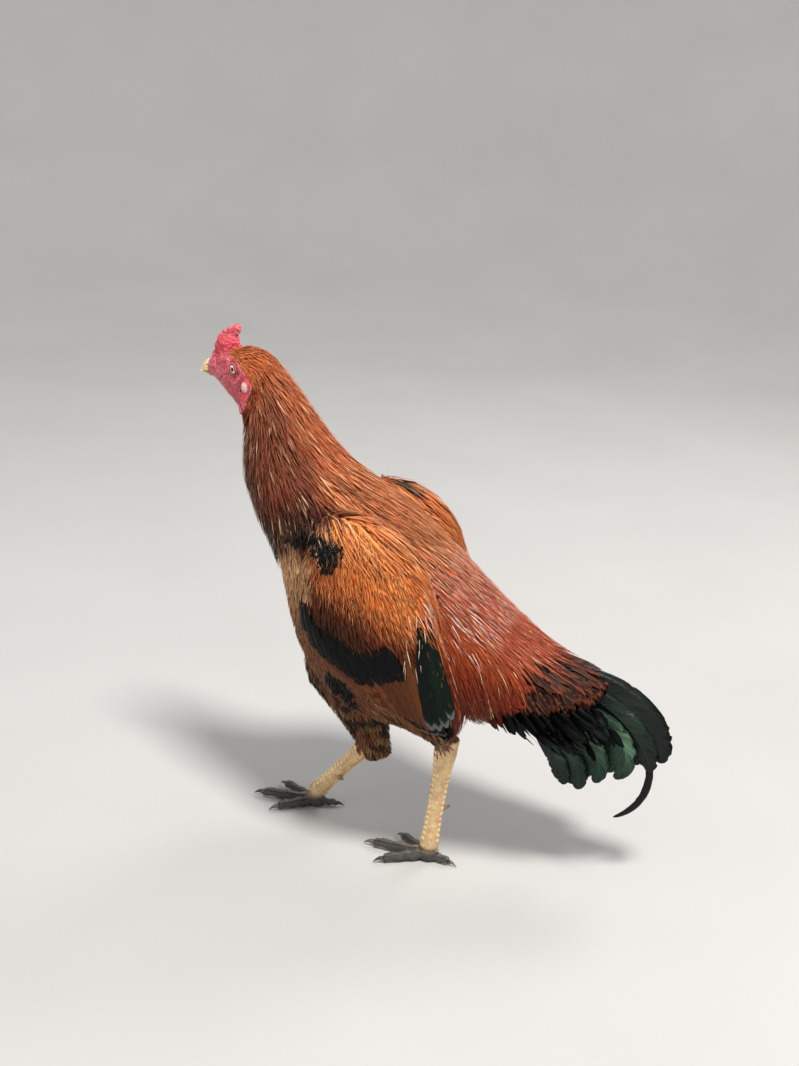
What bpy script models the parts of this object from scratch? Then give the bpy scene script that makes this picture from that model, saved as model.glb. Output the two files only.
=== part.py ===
"""A standing gamecock, life size: a still model of a live bird with its coat.

Frame: +Z up, the bird heads towards -X, and its left side faces -Y. The floor is z = 0.
The flesh is one tapering tube from the beak's base to the tail root, given by a few side-view
stations, and is parted into head, neck, trunk and saddle with thin gaps. Everything that grows
on it is trimmed back from it by the same small gap.
"""

import math
from collections import namedtuple

import bmesh
import bpy
import numpy as np
from mathutils import Matrix, Vector

# ---- driving sizes, in metres ------------------------------------------------------------

GAP = 0.0003                 # clearance between neighbouring pieces
BODY_SIDES = 22              # sides of the flesh tube
HEAD_TURN_DEG = 16.0         # the head looks a little to the bird's right
HEAD_TURN_AXIS_X = -0.188    # the vertical axis the head turns about
TURN_STARTS, TURN_ENDS = 9.5, 4.5    # the stations of the flesh between which the neck turns

EYE_RADIUS = 0.0074
EYE_CENTRE = Vector((-0.2175, 0.0112, 0.5132))
LOBE_CENTRE = Vector((-0.1967, 0.0222, 0.5000))
WATTLE_TOP = Vector((-0.1988, 0.0206, 0.4928))
WATTLE_DROP = 0.0228

THIGH_RADIUS = 0.0500
CUFF_RADIUS = 0.0160         # the thigh's feathers where they end, past the hock
THIGH_STARTS, THIGH_FULLEST = -0.45, 0.15    # as shares of knee to hock, as a leg's own end is
SHANK_RADIUS = 0.0085
TOE_RADIUS = 0.0064
TOE_CLAW_LENGTH = 0.013
ANKLE_HEIGHT = 0.0170

# A station of the flesh tube: its top and bottom points in side view, its half width, and
# how much wider it is above the middle (positive) or below it (negative).
Station = namedtuple("Station", "top_x top_z bottom_x bottom_z half_width egg")

FLESH = (
    Station(-0.2590, 0.5172, -0.2575, 0.4995, 0.0068, 0.00),    # beak's base
    Station(-0.2520, 0.5225, -0.2500, 0.4970, 0.0100, 0.05),    # lores
    Station(-0.2400, 0.5280, -0.2420, 0.4915, 0.0135, 0.10),
    Station(-0.2260, 0.5325, -0.2305, 0.4815, 0.0168, 0.16),    # eyes
    Station(-0.2110, 0.5372, -0.2200, 0.4725, 0.0188, 0.18),    # ears
    Station(-0.1950, 0.5362, -0.2130, 0.4620, 0.0205, 0.18),    # nape
    Station(-0.1780, 0.5280, -0.2095, 0.4490, 0.0240, 0.12),    # head's end
    Station(-0.1490, 0.4980, -0.2085, 0.4290, 0.0325, 0.04),
    Station(-0.1230, 0.4630, -0.2055, 0.3950, 0.0425, 0.00),
    Station(-0.0980, 0.4350, -0.1880, 0.3590, 0.0530, -0.04),   # neck's end
    Station(-0.0640, 0.4110, -0.1630, 0.3140, 0.0660, -0.06),   # shoulders
    Station(-0.0280, 0.3900, -0.1495, 0.2580, 0.0770, -0.06),
    Station(0.0120, 0.3580, -0.1270, 0.2020, 0.0840, -0.04),    # breast
    Station(0.0540, 0.3185, -0.0820, 0.1580, 0.0850, 0.00),
    Station(0.0940, 0.2825, -0.0080, 0.1440, 0.0780, 0.05),     # trunk's end
    Station(0.1340, 0.2540, 0.0660, 0.1600, 0.0620, 0.08),      # saddle
    Station(0.1690, 0.2390, 0.1240, 0.1750, 0.0430, 0.08),
    Station(0.1930, 0.2280, 0.1640, 0.1860, 0.0240, 0.05),      # tail root
)
HEAD_END, NECK_END, TRUNK_END, TAIL_ROOT = 6.0, 9.0, 14.0, 17.0
RINGS_PER_STATION = 2.0

# A station of the wing, from the wrist to the tip: its upper and lower edge in side view,
# its outermost distance from the middle plane, and its half thickness.
WingStation = namedtuple("WingStation", "top_x top_z low_x low_z outer half_thick")

WING = (
    WingStation(-0.1140, 0.3700, -0.1220, 0.3440, 0.0660, 0.0060),    # wrist
    WingStation(-0.0920, 0.3930, -0.1270, 0.3100, 0.0830, 0.0170),
    WingStation(-0.0580, 0.4010, -0.1190, 0.2640, 0.0940, 0.0230),
    WingStation(-0.0180, 0.3840, -0.0960, 0.2240, 0.0990, 0.0250),
    WingStation(0.0130, 0.3460, -0.0600, 0.1960, 0.0990, 0.0240),
    WingStation(0.0280, 0.2820, -0.0200, 0.1760, 0.0930, 0.0190),
    WingStation(0.0450, 0.2300, 0.0140, 0.1660, 0.0860, 0.0120),
    WingStation(0.0570, 0.1900, 0.0420, 0.1620, 0.0800, 0.0060),      # tip
)
WING_SIDES = 14
WING_RINGS_PER_STATION = 2
WING_CLEARANCE = 0.0010      # between a wing and the thigh beneath it

# A leg: where the feathered thigh leaves the body, the hock, and the ankle over the toes.
Leg = namedtuple("Leg", "side knee hock ankle toe_heading_deg thigh_ends")

LEGS = {
    "left": Leg(-1, Vector((-0.020, -0.046, 0.215)), Vector((0.0375, -0.042, 0.150)),
                Vector((0.0230, -0.0350, ANKLE_HEIGHT)), 4.0, 0.93),
    "right": Leg(1, Vector((-0.104, 0.042, 0.192)), Vector((-0.064, 0.038, 0.094)),
                 Vector((-0.1290, 0.0340, ANKLE_HEIGHT)), -2.0, 1.20),
}

# A toe: its angle from the foot's heading, its length to the claw, and its thickness.
Toe = namedtuple("Toe", "angle_deg length thickness")

TOES = {
    "inner": Toe(-34.0, 0.044, 0.95),
    "middle": Toe(0.0, 0.062, 1.00),
    "outer": Toe(32.0, 0.050, 0.92),
    "hallux": Toe(172.0, 0.024, 0.80),
}

# A tail feather: where its shaft starts in side view, the slope it leaves at and ends at
# (degrees below the level, backwards), its length, its half width, its layer outwards from
# the middle plane, and how far it splays.
TailFeather = namedtuple(
    "TailFeather", "root_x root_z leaves_deg ends_deg length half_width layer splay_deg")

TAIL_FEATHERS = (
    TailFeather(0.144, 0.2345, 12, 76, 0.153, 0.0185, 0.0034, 1.5),    # the broad top pair
    TailFeather(0.145, 0.224, 19, 71, 0.140, 0.0160, 0.0066, 2.5),
    TailFeather(0.148, 0.200, 28, 72, 0.092, 0.0135, 0.0098, 3.5),
    TailFeather(0.156, 0.203, 20, 108, 0.114, 0.0120, 0.0130, 4.5),
    TailFeather(0.136, 0.187, 22, 90, 0.098, 0.0120, 0.0162, 5.5),
    TailFeather(0.129, 0.171, 32, 76, 0.080, 0.0120, 0.0194, 6.5),
    TailFeather(0.126, 0.168, 44, 62, 0.064, 0.0100, 0.0226, 7.5),    # the lowest covert
)
SICKLE = TailFeather(0.177, 0.208, 24, 154, 0.182, 0.0042, 0.0, 0.0)
TAIL_BLADE_THICKNESS = 0.0014

Look = namedtuple("Look", "colour roughness")

LOOKS = {
    "hackle": Look((0.50, 0.105, 0.020), 0.45),
    "wing": Look((0.58, 0.170, 0.035), 0.50),
    "breast": Look((0.30, 0.110, 0.040), 0.60),
    "saddle": Look((0.46, 0.070, 0.018), 0.42),
    "tail": Look((0.010, 0.022, 0.018), 0.30),
    "comb": Look((0.58, 0.045, 0.070), 0.45),
    "face": Look((0.55, 0.075, 0.100), 0.50),
    "lobe": Look((0.72, 0.480, 0.400), 0.55),
    "beak": Look((0.72, 0.560, 0.280), 0.40),
    "leg": Look((0.66, 0.430, 0.170), 0.60),
    "claw": Look((0.10, 0.085, 0.070), 0.45),
    "eye": Look((0.75, 0.560, 0.260), 0.10),
}


# ---- building blocks -----------------------------------------------------------------------

def material(look_name):
    """The material of that name, made once."""
    found = bpy.data.materials.get(look_name)
    if found:
        return found
    look = LOOKS[look_name]
    made = bpy.data.materials.new(look_name)
    made.use_nodes = True
    shader = made.node_tree.nodes["Principled BSDF"]
    shader.inputs["Base Color"].default_value = (*look.colour, 1.0)
    shader.inputs["Roughness"].default_value = look.roughness
    shader.inputs["Metallic"].default_value = 0.0
    made.diffuse_color = (*look.colour, 1.0)
    return made


def collection(name):
    found = bpy.data.collections.get(name)
    if not found:
        found = bpy.data.collections.new(name)
        bpy.context.scene.collection.children.link(found)
    return found


def add(name, mesh, look_name, group="rooster"):
    made = bpy.data.objects.new(name, mesh)
    collection(group).objects.link(made)
    if group == "rooster":
        made.data.materials.append(material(look_name))
        made.parent = STANCE
        mesh.shade_smooth()
    else:
        made.hide_render = True
        made.display_type = "WIRE"
        made.parent = STANCE
    return made


def loft(name, rings, look_name, group="rooster"):
    """A closed solid through rings of points, each ring run the same way round.

    Its sides are triangles, all split the same way, so that a grown copy clears it everywhere.
    """
    shape = bmesh.new()
    made = [[shape.verts.new(p) for p in ring] for ring in rings]
    for ring, following in zip(made, made[1:]):
        for k in range(len(ring)):
            n = (k + 1) % len(ring)
            shape.faces.new((ring[k], ring[n], following[n]))
            shape.faces.new((ring[k], following[n], following[k]))
    shape.faces.new(made[0])
    shape.faces.new(made[-1])
    bmesh.ops.recalc_face_normals(shape, faces=shape.faces)
    mesh = bpy.data.meshes.new(name)
    shape.to_mesh(mesh)
    shape.free()
    return add(name, mesh, look_name, group)


def ball(name, centre, radii, look_name, group="rooster", segments=14, tilt=None):
    """An ellipsoid with its own radii, turned by the matrix tilt."""
    shape = bmesh.new()
    bmesh.ops.create_uvsphere(shape, u_segments=segments, v_segments=segments * 2 // 3, radius=1.0)
    turn = tilt.to_4x4() if tilt else Matrix.Identity(4)
    place = Matrix.Translation(centre) @ turn @ Matrix.Diagonal((*radii, 1.0))
    bmesh.ops.transform(shape, matrix=place, verts=shape.verts)
    mesh = bpy.data.meshes.new(name)
    shape.to_mesh(mesh)
    shape.free()
    return add(name, mesh, look_name, group)


def cut(piece, *cutters):
    for cutter in cutters:
        step = piece.modifiers.new("trim_" + cutter.name, "BOOLEAN")
        step.operation = "DIFFERENCE"
        step.solver = "EXACT"
        step.object = cutter
    return piece


def join(piece, others):
    """Unites closed shapes with piece, and hides the shapes it took in."""
    for other in others:
        step = piece.modifiers.new("join_" + other.name, "BOOLEAN")
        step.operation = "UNION"
        step.solver = "EXACT"
        step.object = other
    return piece


def through(table, place):
    """A smooth curve through the rows of a table, read at a fractional row."""
    rows = np.asarray(table, float)
    last = len(rows) - 1
    k = int(min(max(math.floor(place), 0), last - 1))
    t = place - k
    a, b, c, d = (rows[min(max(k + i, 0), last)] for i in (-1, 0, 1, 2))
    return 0.5 * (2 * b + (c - a) * t + (2 * a - 5 * b + 4 * c - d) * t * t
                  + (3 * b - a - 3 * c + d) * t ** 3)


def head_turned(point, share=1.0):
    """The point after that share of the head's turn."""
    axis = Vector((HEAD_TURN_AXIS_X, 0, 0))
    turn = Matrix.Rotation(-math.radians(HEAD_TURN_DEG) * share, 3, "Z")
    return turn @ (point - axis) + axis


def turn_with_head(piece):
    for vertex in piece.data.vertices:
        vertex.co = head_turned(vertex.co)
    return piece


# ---- the flesh tube ------------------------------------------------------------------------

def flesh_ring(place, grow=0.0):
    """One ring of the flesh tube, grown outwards by a small amount."""
    row = Station(*through(FLESH, place))
    top = Vector((row.top_x, 0, row.top_z))
    bottom = Vector((row.bottom_x, 0, row.bottom_z))
    centre = (top + bottom) / 2
    up = (top - bottom) / 2
    up = up * (1 + grow / up.length)
    share = min(max((TURN_STARTS - place) / (TURN_STARTS - TURN_ENDS), 0.0), 1.0)
    share = share * share * (3 - 2 * share)
    ring = []
    for k in range(BODY_SIDES):
        angle = 2 * math.pi * k / BODY_SIDES
        rise, spread = math.cos(angle), math.sin(angle)
        width = (row.half_width + grow) * (1 + row.egg * rise)
        ring.append(head_turned(centre + up * rise + Vector((0, spread * width, 0)), share))
    return ring


def flesh_loft(name, places, look_name, grow=0.0, group="rooster"):
    return loft(name, [flesh_ring(p, grow) for p in places], look_name, group)


def even_places(start, end):
    count = max(3, round((end - start) * RINGS_PER_STATION))
    return [start + (end - start) * k / count for k in range(count + 1)]


def parting(place):
    """Two places a thin gap apart, where the tube is parted."""
    before, after = (Station(*through(FLESH, place + d)) for d in (-0.05, 0.05))
    pace = math.hypot(after.bottom_x - before.bottom_x, after.bottom_z - before.bottom_z)
    pace = min(pace, math.hypot(after.top_x - before.top_x, after.top_z - before.top_z))
    half = 0.5 * GAP / (pace / 0.1)
    return place - half, place + half


def make_flesh():
    """Head, neck, trunk and saddle, and the grown tube that trims what sits on them."""
    head_end, neck_start = parting(HEAD_END)
    neck_end, trunk_start = parting(NECK_END)
    trunk_end, saddle_start = parting(TRUNK_END)
    runs = (("head", "face", even_places(0.0, head_end)),
            ("neck", "hackle", even_places(neck_start, neck_end)),
            ("trunk", "breast", even_places(trunk_start, trunk_end)),
            ("saddle", "saddle", even_places(saddle_start, TAIL_ROOT)))
    pieces = {name: flesh_loft(name, places, look) for name, look, places in runs}
    places = [-0.06] + [p for _, _, run in runs for p in run] + [TAIL_ROOT + 0.02]
    cutter = flesh_loft("flesh_cutter", places, "face", GAP, "cutters")
    return pieces, cutter


# ---- the head's own pieces -----------------------------------------------------------------

def mirrored(point, side):
    """The point on the left (-1) or right (+1) side, from one given on the right."""
    return Vector((point.x, side * point.y, point.z))


def make_eyes(head):
    for name, side in (("left", -1), ("right", 1)):
        place = head_turned(mirrored(EYE_CENTRE, side))
        ball("eye_" + name, place, (EYE_RADIUS,) * 3, "eye", segments=12)
        socket = ball("socket_cutter_" + name, place, (EYE_RADIUS + GAP,) * 3, "eye",
                      group="cutters", segments=12)
        cut(head, socket)


def beak_ring(base_x, top_z, low_z, half_width, sides=12):
    centre_z, half_height = (top_z + low_z) / 2, (top_z - low_z) / 2
    ring = []
    for k in range(sides):
        angle = 2 * math.pi * (k + 0.5) / sides
        ring.append(Vector((base_x, half_width * math.sin(angle),
                            centre_z + half_height * math.cos(angle))))
    return ring


def make_beak(flesh_cutter):
    """A short stout bill: the upper half overhangs the lower one."""
    base_x, length, gape = -0.2560, 0.0165, 0.5032
    upper, lower = [], []
    for k in range(7):
        t = k / 6
        culmen = 0.5172 - 0.0008 * t - 0.0146 * t ** 2.3
        edge = gape - 0.0006 * t - 0.0022 * t ** 5
        upper.append(beak_ring(base_x - length * t, max(culmen, edge + 0.0009), edge,
                               0.0066 * (1 - 0.84 * t ** 1.8)))
    for k in range(5):
        t = k / 4
        edge = gape - 0.0011 - 0.0004 * t
        lower.append(beak_ring(base_x - length * 0.74 * t, edge, 0.4985 + 0.0028 * t ** 1.5,
                               0.0058 * (1 - 0.72 * t ** 1.6)))
    for name, rings in (("beak_upper", upper), ("beak_lower", lower)):
        cut(turn_with_head(loft(name, rings, "beak")), flesh_cutter)


def comb_beads():
    """Centres and sizes of the comb's beads: a ridge that climbs from the bill to the crown."""
    ridge = ((-0.2510, 0.5220, 0.0050), (-0.2480, 0.5315, 0.0050), (-0.2435, 0.5400, 0.0048),
             (-0.2380, 0.5460, 0.0048), (-0.2320, 0.5495, 0.0050), (-0.2262, 0.5520, 0.0056))
    return [(Vector((x, 0, z)), (size, size * 1.05, size * 1.12)) for x, z, size in ridge]


def make_comb(flesh_cutter):
    comb = turn_with_head(ball("comb", Vector((-0.2355, 0, 0.5340)), (0.0152, 0.0078, 0.0165),
                               "comb", segments=14))
    others = [turn_with_head(ball(f"comb_bead_{k}", centre, radii, "comb", "cutters", 7))
              for k, (centre, radii) in enumerate(comb_beads())]
    join(comb, others)
    guard = turn_with_head(ball("comb_beak_guard", Vector((-0.2660, 0, 0.5060)),
                                (0.0110, 0.0100, 0.0120), "comb", "cutters", 12))
    cut(comb, flesh_cutter, guard)


def make_lobes_and_wattles(flesh_cutter):
    for name, side in (("left", -1), ("right", 1)):
        lobe = ball("earlobe_" + name, mirrored(LOBE_CENTRE, side), (0.0060, 0.0034, 0.0068),
                    "lobe", segments=12)
        cut(turn_with_head(lobe), flesh_cutter)
        rings = []
        for k in range(6):
            t = k / 5
            half = 0.0006 + 0.0078 * (1 - t) ** 0.7
            centre = WATTLE_TOP + Vector((-0.0022 * t, 0.0034 * t, -WATTLE_DROP * t))
            rings.append([
                mirrored(centre + Vector((half * math.cos(a), (0.0012 + 0.24 * half) * math.sin(a), 0)), side)
                for a in (2 * math.pi * (i + 0.5) / 10 for i in range(10))])
        lobe_guard = ball("lobe_cutter_" + name, mirrored(LOBE_CENTRE, side),
                          (0.0060 + GAP, 0.0034 + GAP, 0.0068 + GAP), "lobe", "cutters", 12)
        wattle = turn_with_head(loft("wattle_" + name, rings, "comb"))
        cut(wattle, flesh_cutter, turn_with_head(lobe_guard))


# ---- wings ---------------------------------------------------------------------------------

def wing_ring(place, side, grow=0.0):
    row = WingStation(*through(WING, place))
    top = Vector((row.top_x, 0, row.top_z))
    low = Vector((row.low_x, 0, row.low_z))
    centre, up = (top + low) / 2, (top - low) / 2
    up = up * (1 + grow / up.length)
    ring = []
    for k in range(WING_SIDES):
        angle = 2 * math.pi * k / WING_SIDES
        rise = math.copysign(abs(math.cos(angle)) ** 0.85, math.cos(angle))
        out = math.copysign(abs(math.sin(angle)) ** 0.85, math.sin(angle))
        lean = 0.006 * rise                  # the wing's upper edge leans out over the body
        y = row.outer - row.half_thick + (row.half_thick + grow) * out + lean - 0.006
        ring.append(centre + up * rise + Vector((0, side * y, 0)))
    return ring


def wing_loft(name, side, grow=0.0, group="rooster"):
    last = len(WING) - 1
    places = [k / WING_RINGS_PER_STATION for k in range(last * WING_RINGS_PER_STATION + 1)]
    if grow:
        places = [-0.04] + places + [last + 0.04]
    return loft(name, [wing_ring(p, side, grow) for p in places], "wing", group)


def make_wings(flesh_cutter):
    """Both wings, and a grown copy of each for the thigh beneath to be trimmed by."""
    cutters = {}
    for name, side in (("left", -1), ("right", 1)):
        cut(wing_loft("wing_" + name, side), flesh_cutter)
        cutters[name] = wing_loft("wing_cutter_" + name, side, WING_CLEARANCE, "cutters")
    return cutters


# ---- legs ----------------------------------------------------------------------------------

def round_ring(centre, axis, radius, sides, flatten=1.0):
    """A ring about an axis. flatten narrows it across the bird."""
    axis = axis.normalized()
    across = Vector((0, 1, 0))
    along = across.cross(axis).normalized()
    return [centre + radius * (math.cos(a) * along + math.sin(a) * flatten * across)
            for a in (2 * math.pi * k / sides for k in range(sides))]


def thigh_rings(leg):
    """The feathered thigh: rounded inside the body, fullest below it, narrow past the hock."""
    axis = leg.hock - leg.knee
    rings = []
    for k in range(9):
        t = THIGH_STARTS + (leg.thigh_ends - THIGH_STARTS) * k / 8
        if t < THIGH_FULLEST:
            fall = (THIGH_FULLEST - t) / (THIGH_FULLEST - THIGH_STARTS)
            radius = THIGH_RADIUS * math.sqrt(max(0.02, 1 - fall * fall))
        else:
            fall = (t - THIGH_FULLEST) / (leg.thigh_ends - THIGH_FULLEST)
            radius = CUFF_RADIUS + (THIGH_RADIUS - CUFF_RADIUS) * max(0.0, 1 - fall) ** 1.25
        rings.append(round_ring(leg.knee + axis * t, axis, radius, 16, flatten=0.80))
    return rings


def shank_rings(leg, grow=0.0):
    """The bare scaly shank, a little thicker at each end."""
    axis = leg.ankle - leg.hock
    rings = []
    for k in range(8):
        t = -0.03 + 1.03 * k / 7
        swell = 0.54 * math.exp(-((t - 0.02) / 0.22) ** 2) + 0.26 * math.exp(-((t - 1.0) / 0.12) ** 2)
        radius = SHANK_RADIUS * (1 + swell) + grow
        rings.append(round_ring(leg.hock + axis * t, axis, radius, 12, flatten=0.92))
    return rings


def toe_path(leg, toe, t):
    """A point of the toe's middle line, from the ankle (0) to the claw's root (1)."""
    heading = math.radians(180 + leg.toe_heading_deg + leg.side * toe.angle_deg)
    out = Vector((math.cos(heading), -math.sin(heading), 0))
    flat_z = TOE_RADIUS * toe.thickness * 0.86
    drop = (leg.ankle.z - 0.005 - flat_z) * max(0.0, 1 - t / 0.28) ** 1.6
    arch = 0.0016 * math.sin(math.pi * 3 * t) ** 2
    return Vector((leg.ankle.x, leg.ankle.y, 0)) + out * toe.length * t + Vector((0, 0, flat_z + drop + arch))


def toe_radius(toe, t):
    joints = 0.10 * math.cos(2 * math.pi * 3 * t) * (1 - t)
    return TOE_RADIUS * toe.thickness * (1.0 - 0.30 * t) * (1 + joints)


def toe_rings(leg, toe):
    rings = []
    for k in range(7):
        t = k / 6
        centre = toe_path(leg, toe, t)
        ahead = toe_path(leg, toe, t + 0.02) - centre
        axis = ahead.normalized()
        across = Vector((0, 0, 1)).cross(axis).normalized()
        upward = axis.cross(across)
        radius = toe_radius(toe, t)
        rings.append([centre + radius * (math.cos(a) * across + math.sin(a) * 0.95 * upward)
                      for a in (2 * math.pi * i / 8 for i in range(8))])
    return rings


def claw_rings(leg, toe):
    """A curved horny claw that starts just past the toe's end."""
    start = toe_path(leg, toe, 1.0)
    axis = (toe_path(leg, toe, 1.0) - toe_path(leg, toe, 0.96)).normalized()
    start = start + axis * GAP
    across = Vector((0, 0, 1)).cross(axis).normalized()
    length = TOE_CLAW_LENGTH * toe.thickness
    base = toe_radius(toe, 1.0) * 0.86
    rings = []
    for k in range(5):
        t = k / 4
        centre = start + axis * length * t + Vector((0, 0, 0.0022 * math.sin(math.pi * t) - base * 0.55 * t))
        radius = base * (1 - 0.86 * t)
        rings.append([centre + radius * (0.75 * math.cos(a) * across + math.sin(a) * Vector((0, 0, 1)))
                      for a in (2 * math.pi * i / 6 for i in range(6))])
    return rings


def make_leg(name, leg, flesh_cutter, wing_cutter, floor_cutter):
    thigh = loft("thigh_" + name, thigh_rings(leg), "breast")
    shank = loft("shank_" + name, shank_rings(leg), "leg")
    shank_cutter = loft("shank_cutter_" + name, shank_rings(leg, GAP), "leg", "cutters")
    cut(thigh, flesh_cutter, wing_cutter, shank_cutter)

    foot = ball("foot_" + name, Vector((leg.ankle.x, leg.ankle.y, 0.0085)),
                (0.0115, 0.0105, 0.0100), "leg", segments=12)
    toes = [loft(f"toe_{label}_{name}", toe_rings(leg, toe), "leg", "cutters")
            for label, toe in TOES.items()]
    join(foot, toes)
    cut(foot, shank_cutter, floor_cutter)

    for label, toe in TOES.items():
        cut(loft(f"claw_{label}_{name}", claw_rings(leg, toe), "claw"), floor_cutter)

    spur_root = leg.hock.lerp(leg.ankle, 0.66)
    spur_axis = Vector((0.70, -0.62 * leg.side, 0.10)).normalized()
    spur = [round_ring(spur_root + spur_axis * (0.004 + 0.0145 * t), spur_axis,
                       0.0044 * (1 - 0.72 * t ** 1.5), 8) for t in (0, 0.35, 0.7, 1.0)]
    cut(loft("spur_" + name, spur, "claw"), shank_cutter)


# ---- tail ----------------------------------------------------------------------------------

def tail_shaft(feather, side, steps):
    """Points and upward normals along a tail feather's shaft, which droops evenly."""
    splay = math.radians(feather.splay_deg)
    point = Vector((feather.root_x, side * feather.layer, feather.root_z))
    found = []
    for k in range(steps + 1):
        t = k / steps
        slope = math.radians(feather.leaves_deg + (feather.ends_deg - feather.leaves_deg) * t ** 1.5)
        ahead = Vector((math.cos(slope) * math.cos(splay), side * math.cos(slope) * math.sin(splay),
                        -math.sin(slope)))
        normal = Vector((math.sin(slope), 0, math.cos(slope)))
        found.append((t, point.copy(), normal))
        point += ahead * feather.length / steps
    return found


def blade_width(t):
    """A vane's outline: narrow at the root, fullest past the middle, rounded at the end."""
    return (0.35 + 0.65 * math.sin(math.pi * min(t / 1.25, 0.5))) * math.sqrt(max(0.0, 1 - t ** 7) + 0.012)


def make_tail_feather(name, feather, side, flesh_cutter):
    rings = []
    for t, point, normal in tail_shaft(feather, side, 9):
        half = feather.half_width * blade_width(t)
        thick = TAIL_BLADE_THICKNESS * (0.75 + 0.25 * (1 - t)) / 2
        out = Vector((0, side, 0))
        rings.append([point + normal * half, point + out * thick + normal * half * 0.3,
                      point + out * thick - normal * half * 0.3, point - normal * half,
                      point - out * thick - normal * half * 0.3, point - out * thick + normal * half * 0.3])
    return cut(loft(name, rings, "tail"), flesh_cutter)


def make_tail(flesh_cutter):
    for name, side in (("left", -1), ("right", 1)):
        for k, feather in enumerate(TAIL_FEATHERS, start=1):
            make_tail_feather(f"tail_feather_{name}_{k}", feather, side, flesh_cutter)
    make_tail_feather("tail_sickle", SICKLE, -1, flesh_cutter)


# ---- the whole bird ------------------------------------------------------------------------

def clear_scene():
    for old in list(bpy.data.objects):
        bpy.data.objects.remove(old)


def centre_on_floor():
    """Moves the stance so that the bounding box's bottom centre is the origin."""
    bpy.context.view_layer.update()
    graph = bpy.context.evaluated_depsgraph_get()
    low, high = Vector((1e9,) * 3), Vector((-1e9,) * 3)
    for piece in collection("rooster").objects:
        if piece.type != "MESH":
            continue
        shown = piece.evaluated_get(graph)
        for vertex in shown.data.vertices:
            at = shown.matrix_world @ vertex.co
            low = Vector(map(min, low, at))
            high = Vector(map(max, high, at))
    STANCE.location -= Vector(((low.x + high.x) / 2, (low.y + high.y) / 2, low.z))


clear_scene()
STANCE = bpy.data.objects.new("stance", None)
collection("rooster").objects.link(STANCE)

flesh, flesh_cutter = make_flesh()
make_eyes(flesh["head"])
make_beak(flesh_cutter)
make_comb(flesh_cutter)
make_lobes_and_wattles(flesh_cutter)

floor_shape = bmesh.new()
bmesh.ops.create_cube(floor_shape, size=1.0)
bmesh.ops.translate(floor_shape, verts=floor_shape.verts, vec=(0, 0, -0.5))
floor_mesh = bpy.data.meshes.new("floor_cutter")
floor_shape.to_mesh(floor_mesh)
floor_shape.free()
floor_cutter = add("floor_cutter", floor_mesh, "leg", "cutters")

wing_cutters = make_wings(flesh_cutter)
for leg_name, one_leg in LEGS.items():
    make_leg(leg_name, one_leg, flesh_cutter, wing_cutters[leg_name], floor_cutter)
make_tail(flesh_cutter)
centre_on_floor()
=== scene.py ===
"""A gamecock standing in full plumage, built over its measured solids.

One skin lies under the coat. Feathers are rooted on it and follow the lie of the coat:
short ones on the crown, hackles on the neck and saddle, round ones on the wing and breast,
and stiff vanes in the wing and tail.
"""

import math

import bmesh
import bpy
import numpy as np
from mathutils import Matrix, Vector
from mathutils.bvhtree import BVHTree
from mathutils.kdtree import KDTree


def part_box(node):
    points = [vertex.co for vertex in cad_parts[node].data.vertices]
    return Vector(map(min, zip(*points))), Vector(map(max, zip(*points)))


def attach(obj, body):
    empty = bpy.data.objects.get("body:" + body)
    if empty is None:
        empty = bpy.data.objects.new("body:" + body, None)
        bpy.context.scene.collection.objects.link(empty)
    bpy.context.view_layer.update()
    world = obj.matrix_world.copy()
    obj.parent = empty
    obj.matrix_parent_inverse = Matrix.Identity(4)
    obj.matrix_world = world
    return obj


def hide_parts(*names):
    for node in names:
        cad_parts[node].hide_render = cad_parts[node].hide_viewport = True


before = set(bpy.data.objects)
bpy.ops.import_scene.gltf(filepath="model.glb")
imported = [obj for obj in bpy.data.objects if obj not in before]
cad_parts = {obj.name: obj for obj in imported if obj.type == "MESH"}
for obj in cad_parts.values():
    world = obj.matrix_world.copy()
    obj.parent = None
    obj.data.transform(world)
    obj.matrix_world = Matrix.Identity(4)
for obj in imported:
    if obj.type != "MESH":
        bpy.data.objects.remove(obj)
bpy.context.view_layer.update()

MM = 0.001
SIDES = {"left": -1.0, "right": 1.0}

# ---- the model's own coordinates --------------------------------------------------------------
# Tables are in the maker's coordinates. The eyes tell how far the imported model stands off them.

EYE_MIDDLE = np.array([-0.21636, 0.00813, 0.5132])
eye_corners = np.array([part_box("eye_left"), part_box("eye_right")], float)
SHIFT = (eye_corners.min((0, 1)) + eye_corners.max((0, 1))) / 2 - EYE_MIDDLE

HEAD_TURN = math.radians(16)
HEAD_TURN_X = -0.188

# Rows along the back and the belly, from the bill's base to the tail's root: x, z of each.
LINES = np.array((
    (-0.2590, 0.5172, -0.2575, 0.4995),
    (-0.2520, 0.5225, -0.2500, 0.4970),
    (-0.2400, 0.5280, -0.2420, 0.4915),
    (-0.2260, 0.5325, -0.2305, 0.4815),
    (-0.2110, 0.5372, -0.2200, 0.4725),
    (-0.1950, 0.5362, -0.2130, 0.4620),
    (-0.1780, 0.5280, -0.2095, 0.4490),
    (-0.1490, 0.4980, -0.2085, 0.4290),
    (-0.1230, 0.4630, -0.2055, 0.3950),
    (-0.0980, 0.4350, -0.1880, 0.3590),
    (-0.0640, 0.4110, -0.1630, 0.3140),
    (-0.0280, 0.3900, -0.1495, 0.2580),
    (0.0120, 0.3580, -0.1270, 0.2020),
    (0.0540, 0.3185, -0.0820, 0.1580),
    (0.0940, 0.2825, -0.0080, 0.1440),
    (0.1340, 0.2540, 0.0660, 0.1600),
    (0.1690, 0.2390, 0.1240, 0.1750),
    (0.1930, 0.2280, 0.1640, 0.1860),
))
LAST_ROW = len(LINES) - 1
TURN_STARTS, TURN_ENDS = 9.5, 4.5      # rows between which the neck takes up the head's turn


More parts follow.
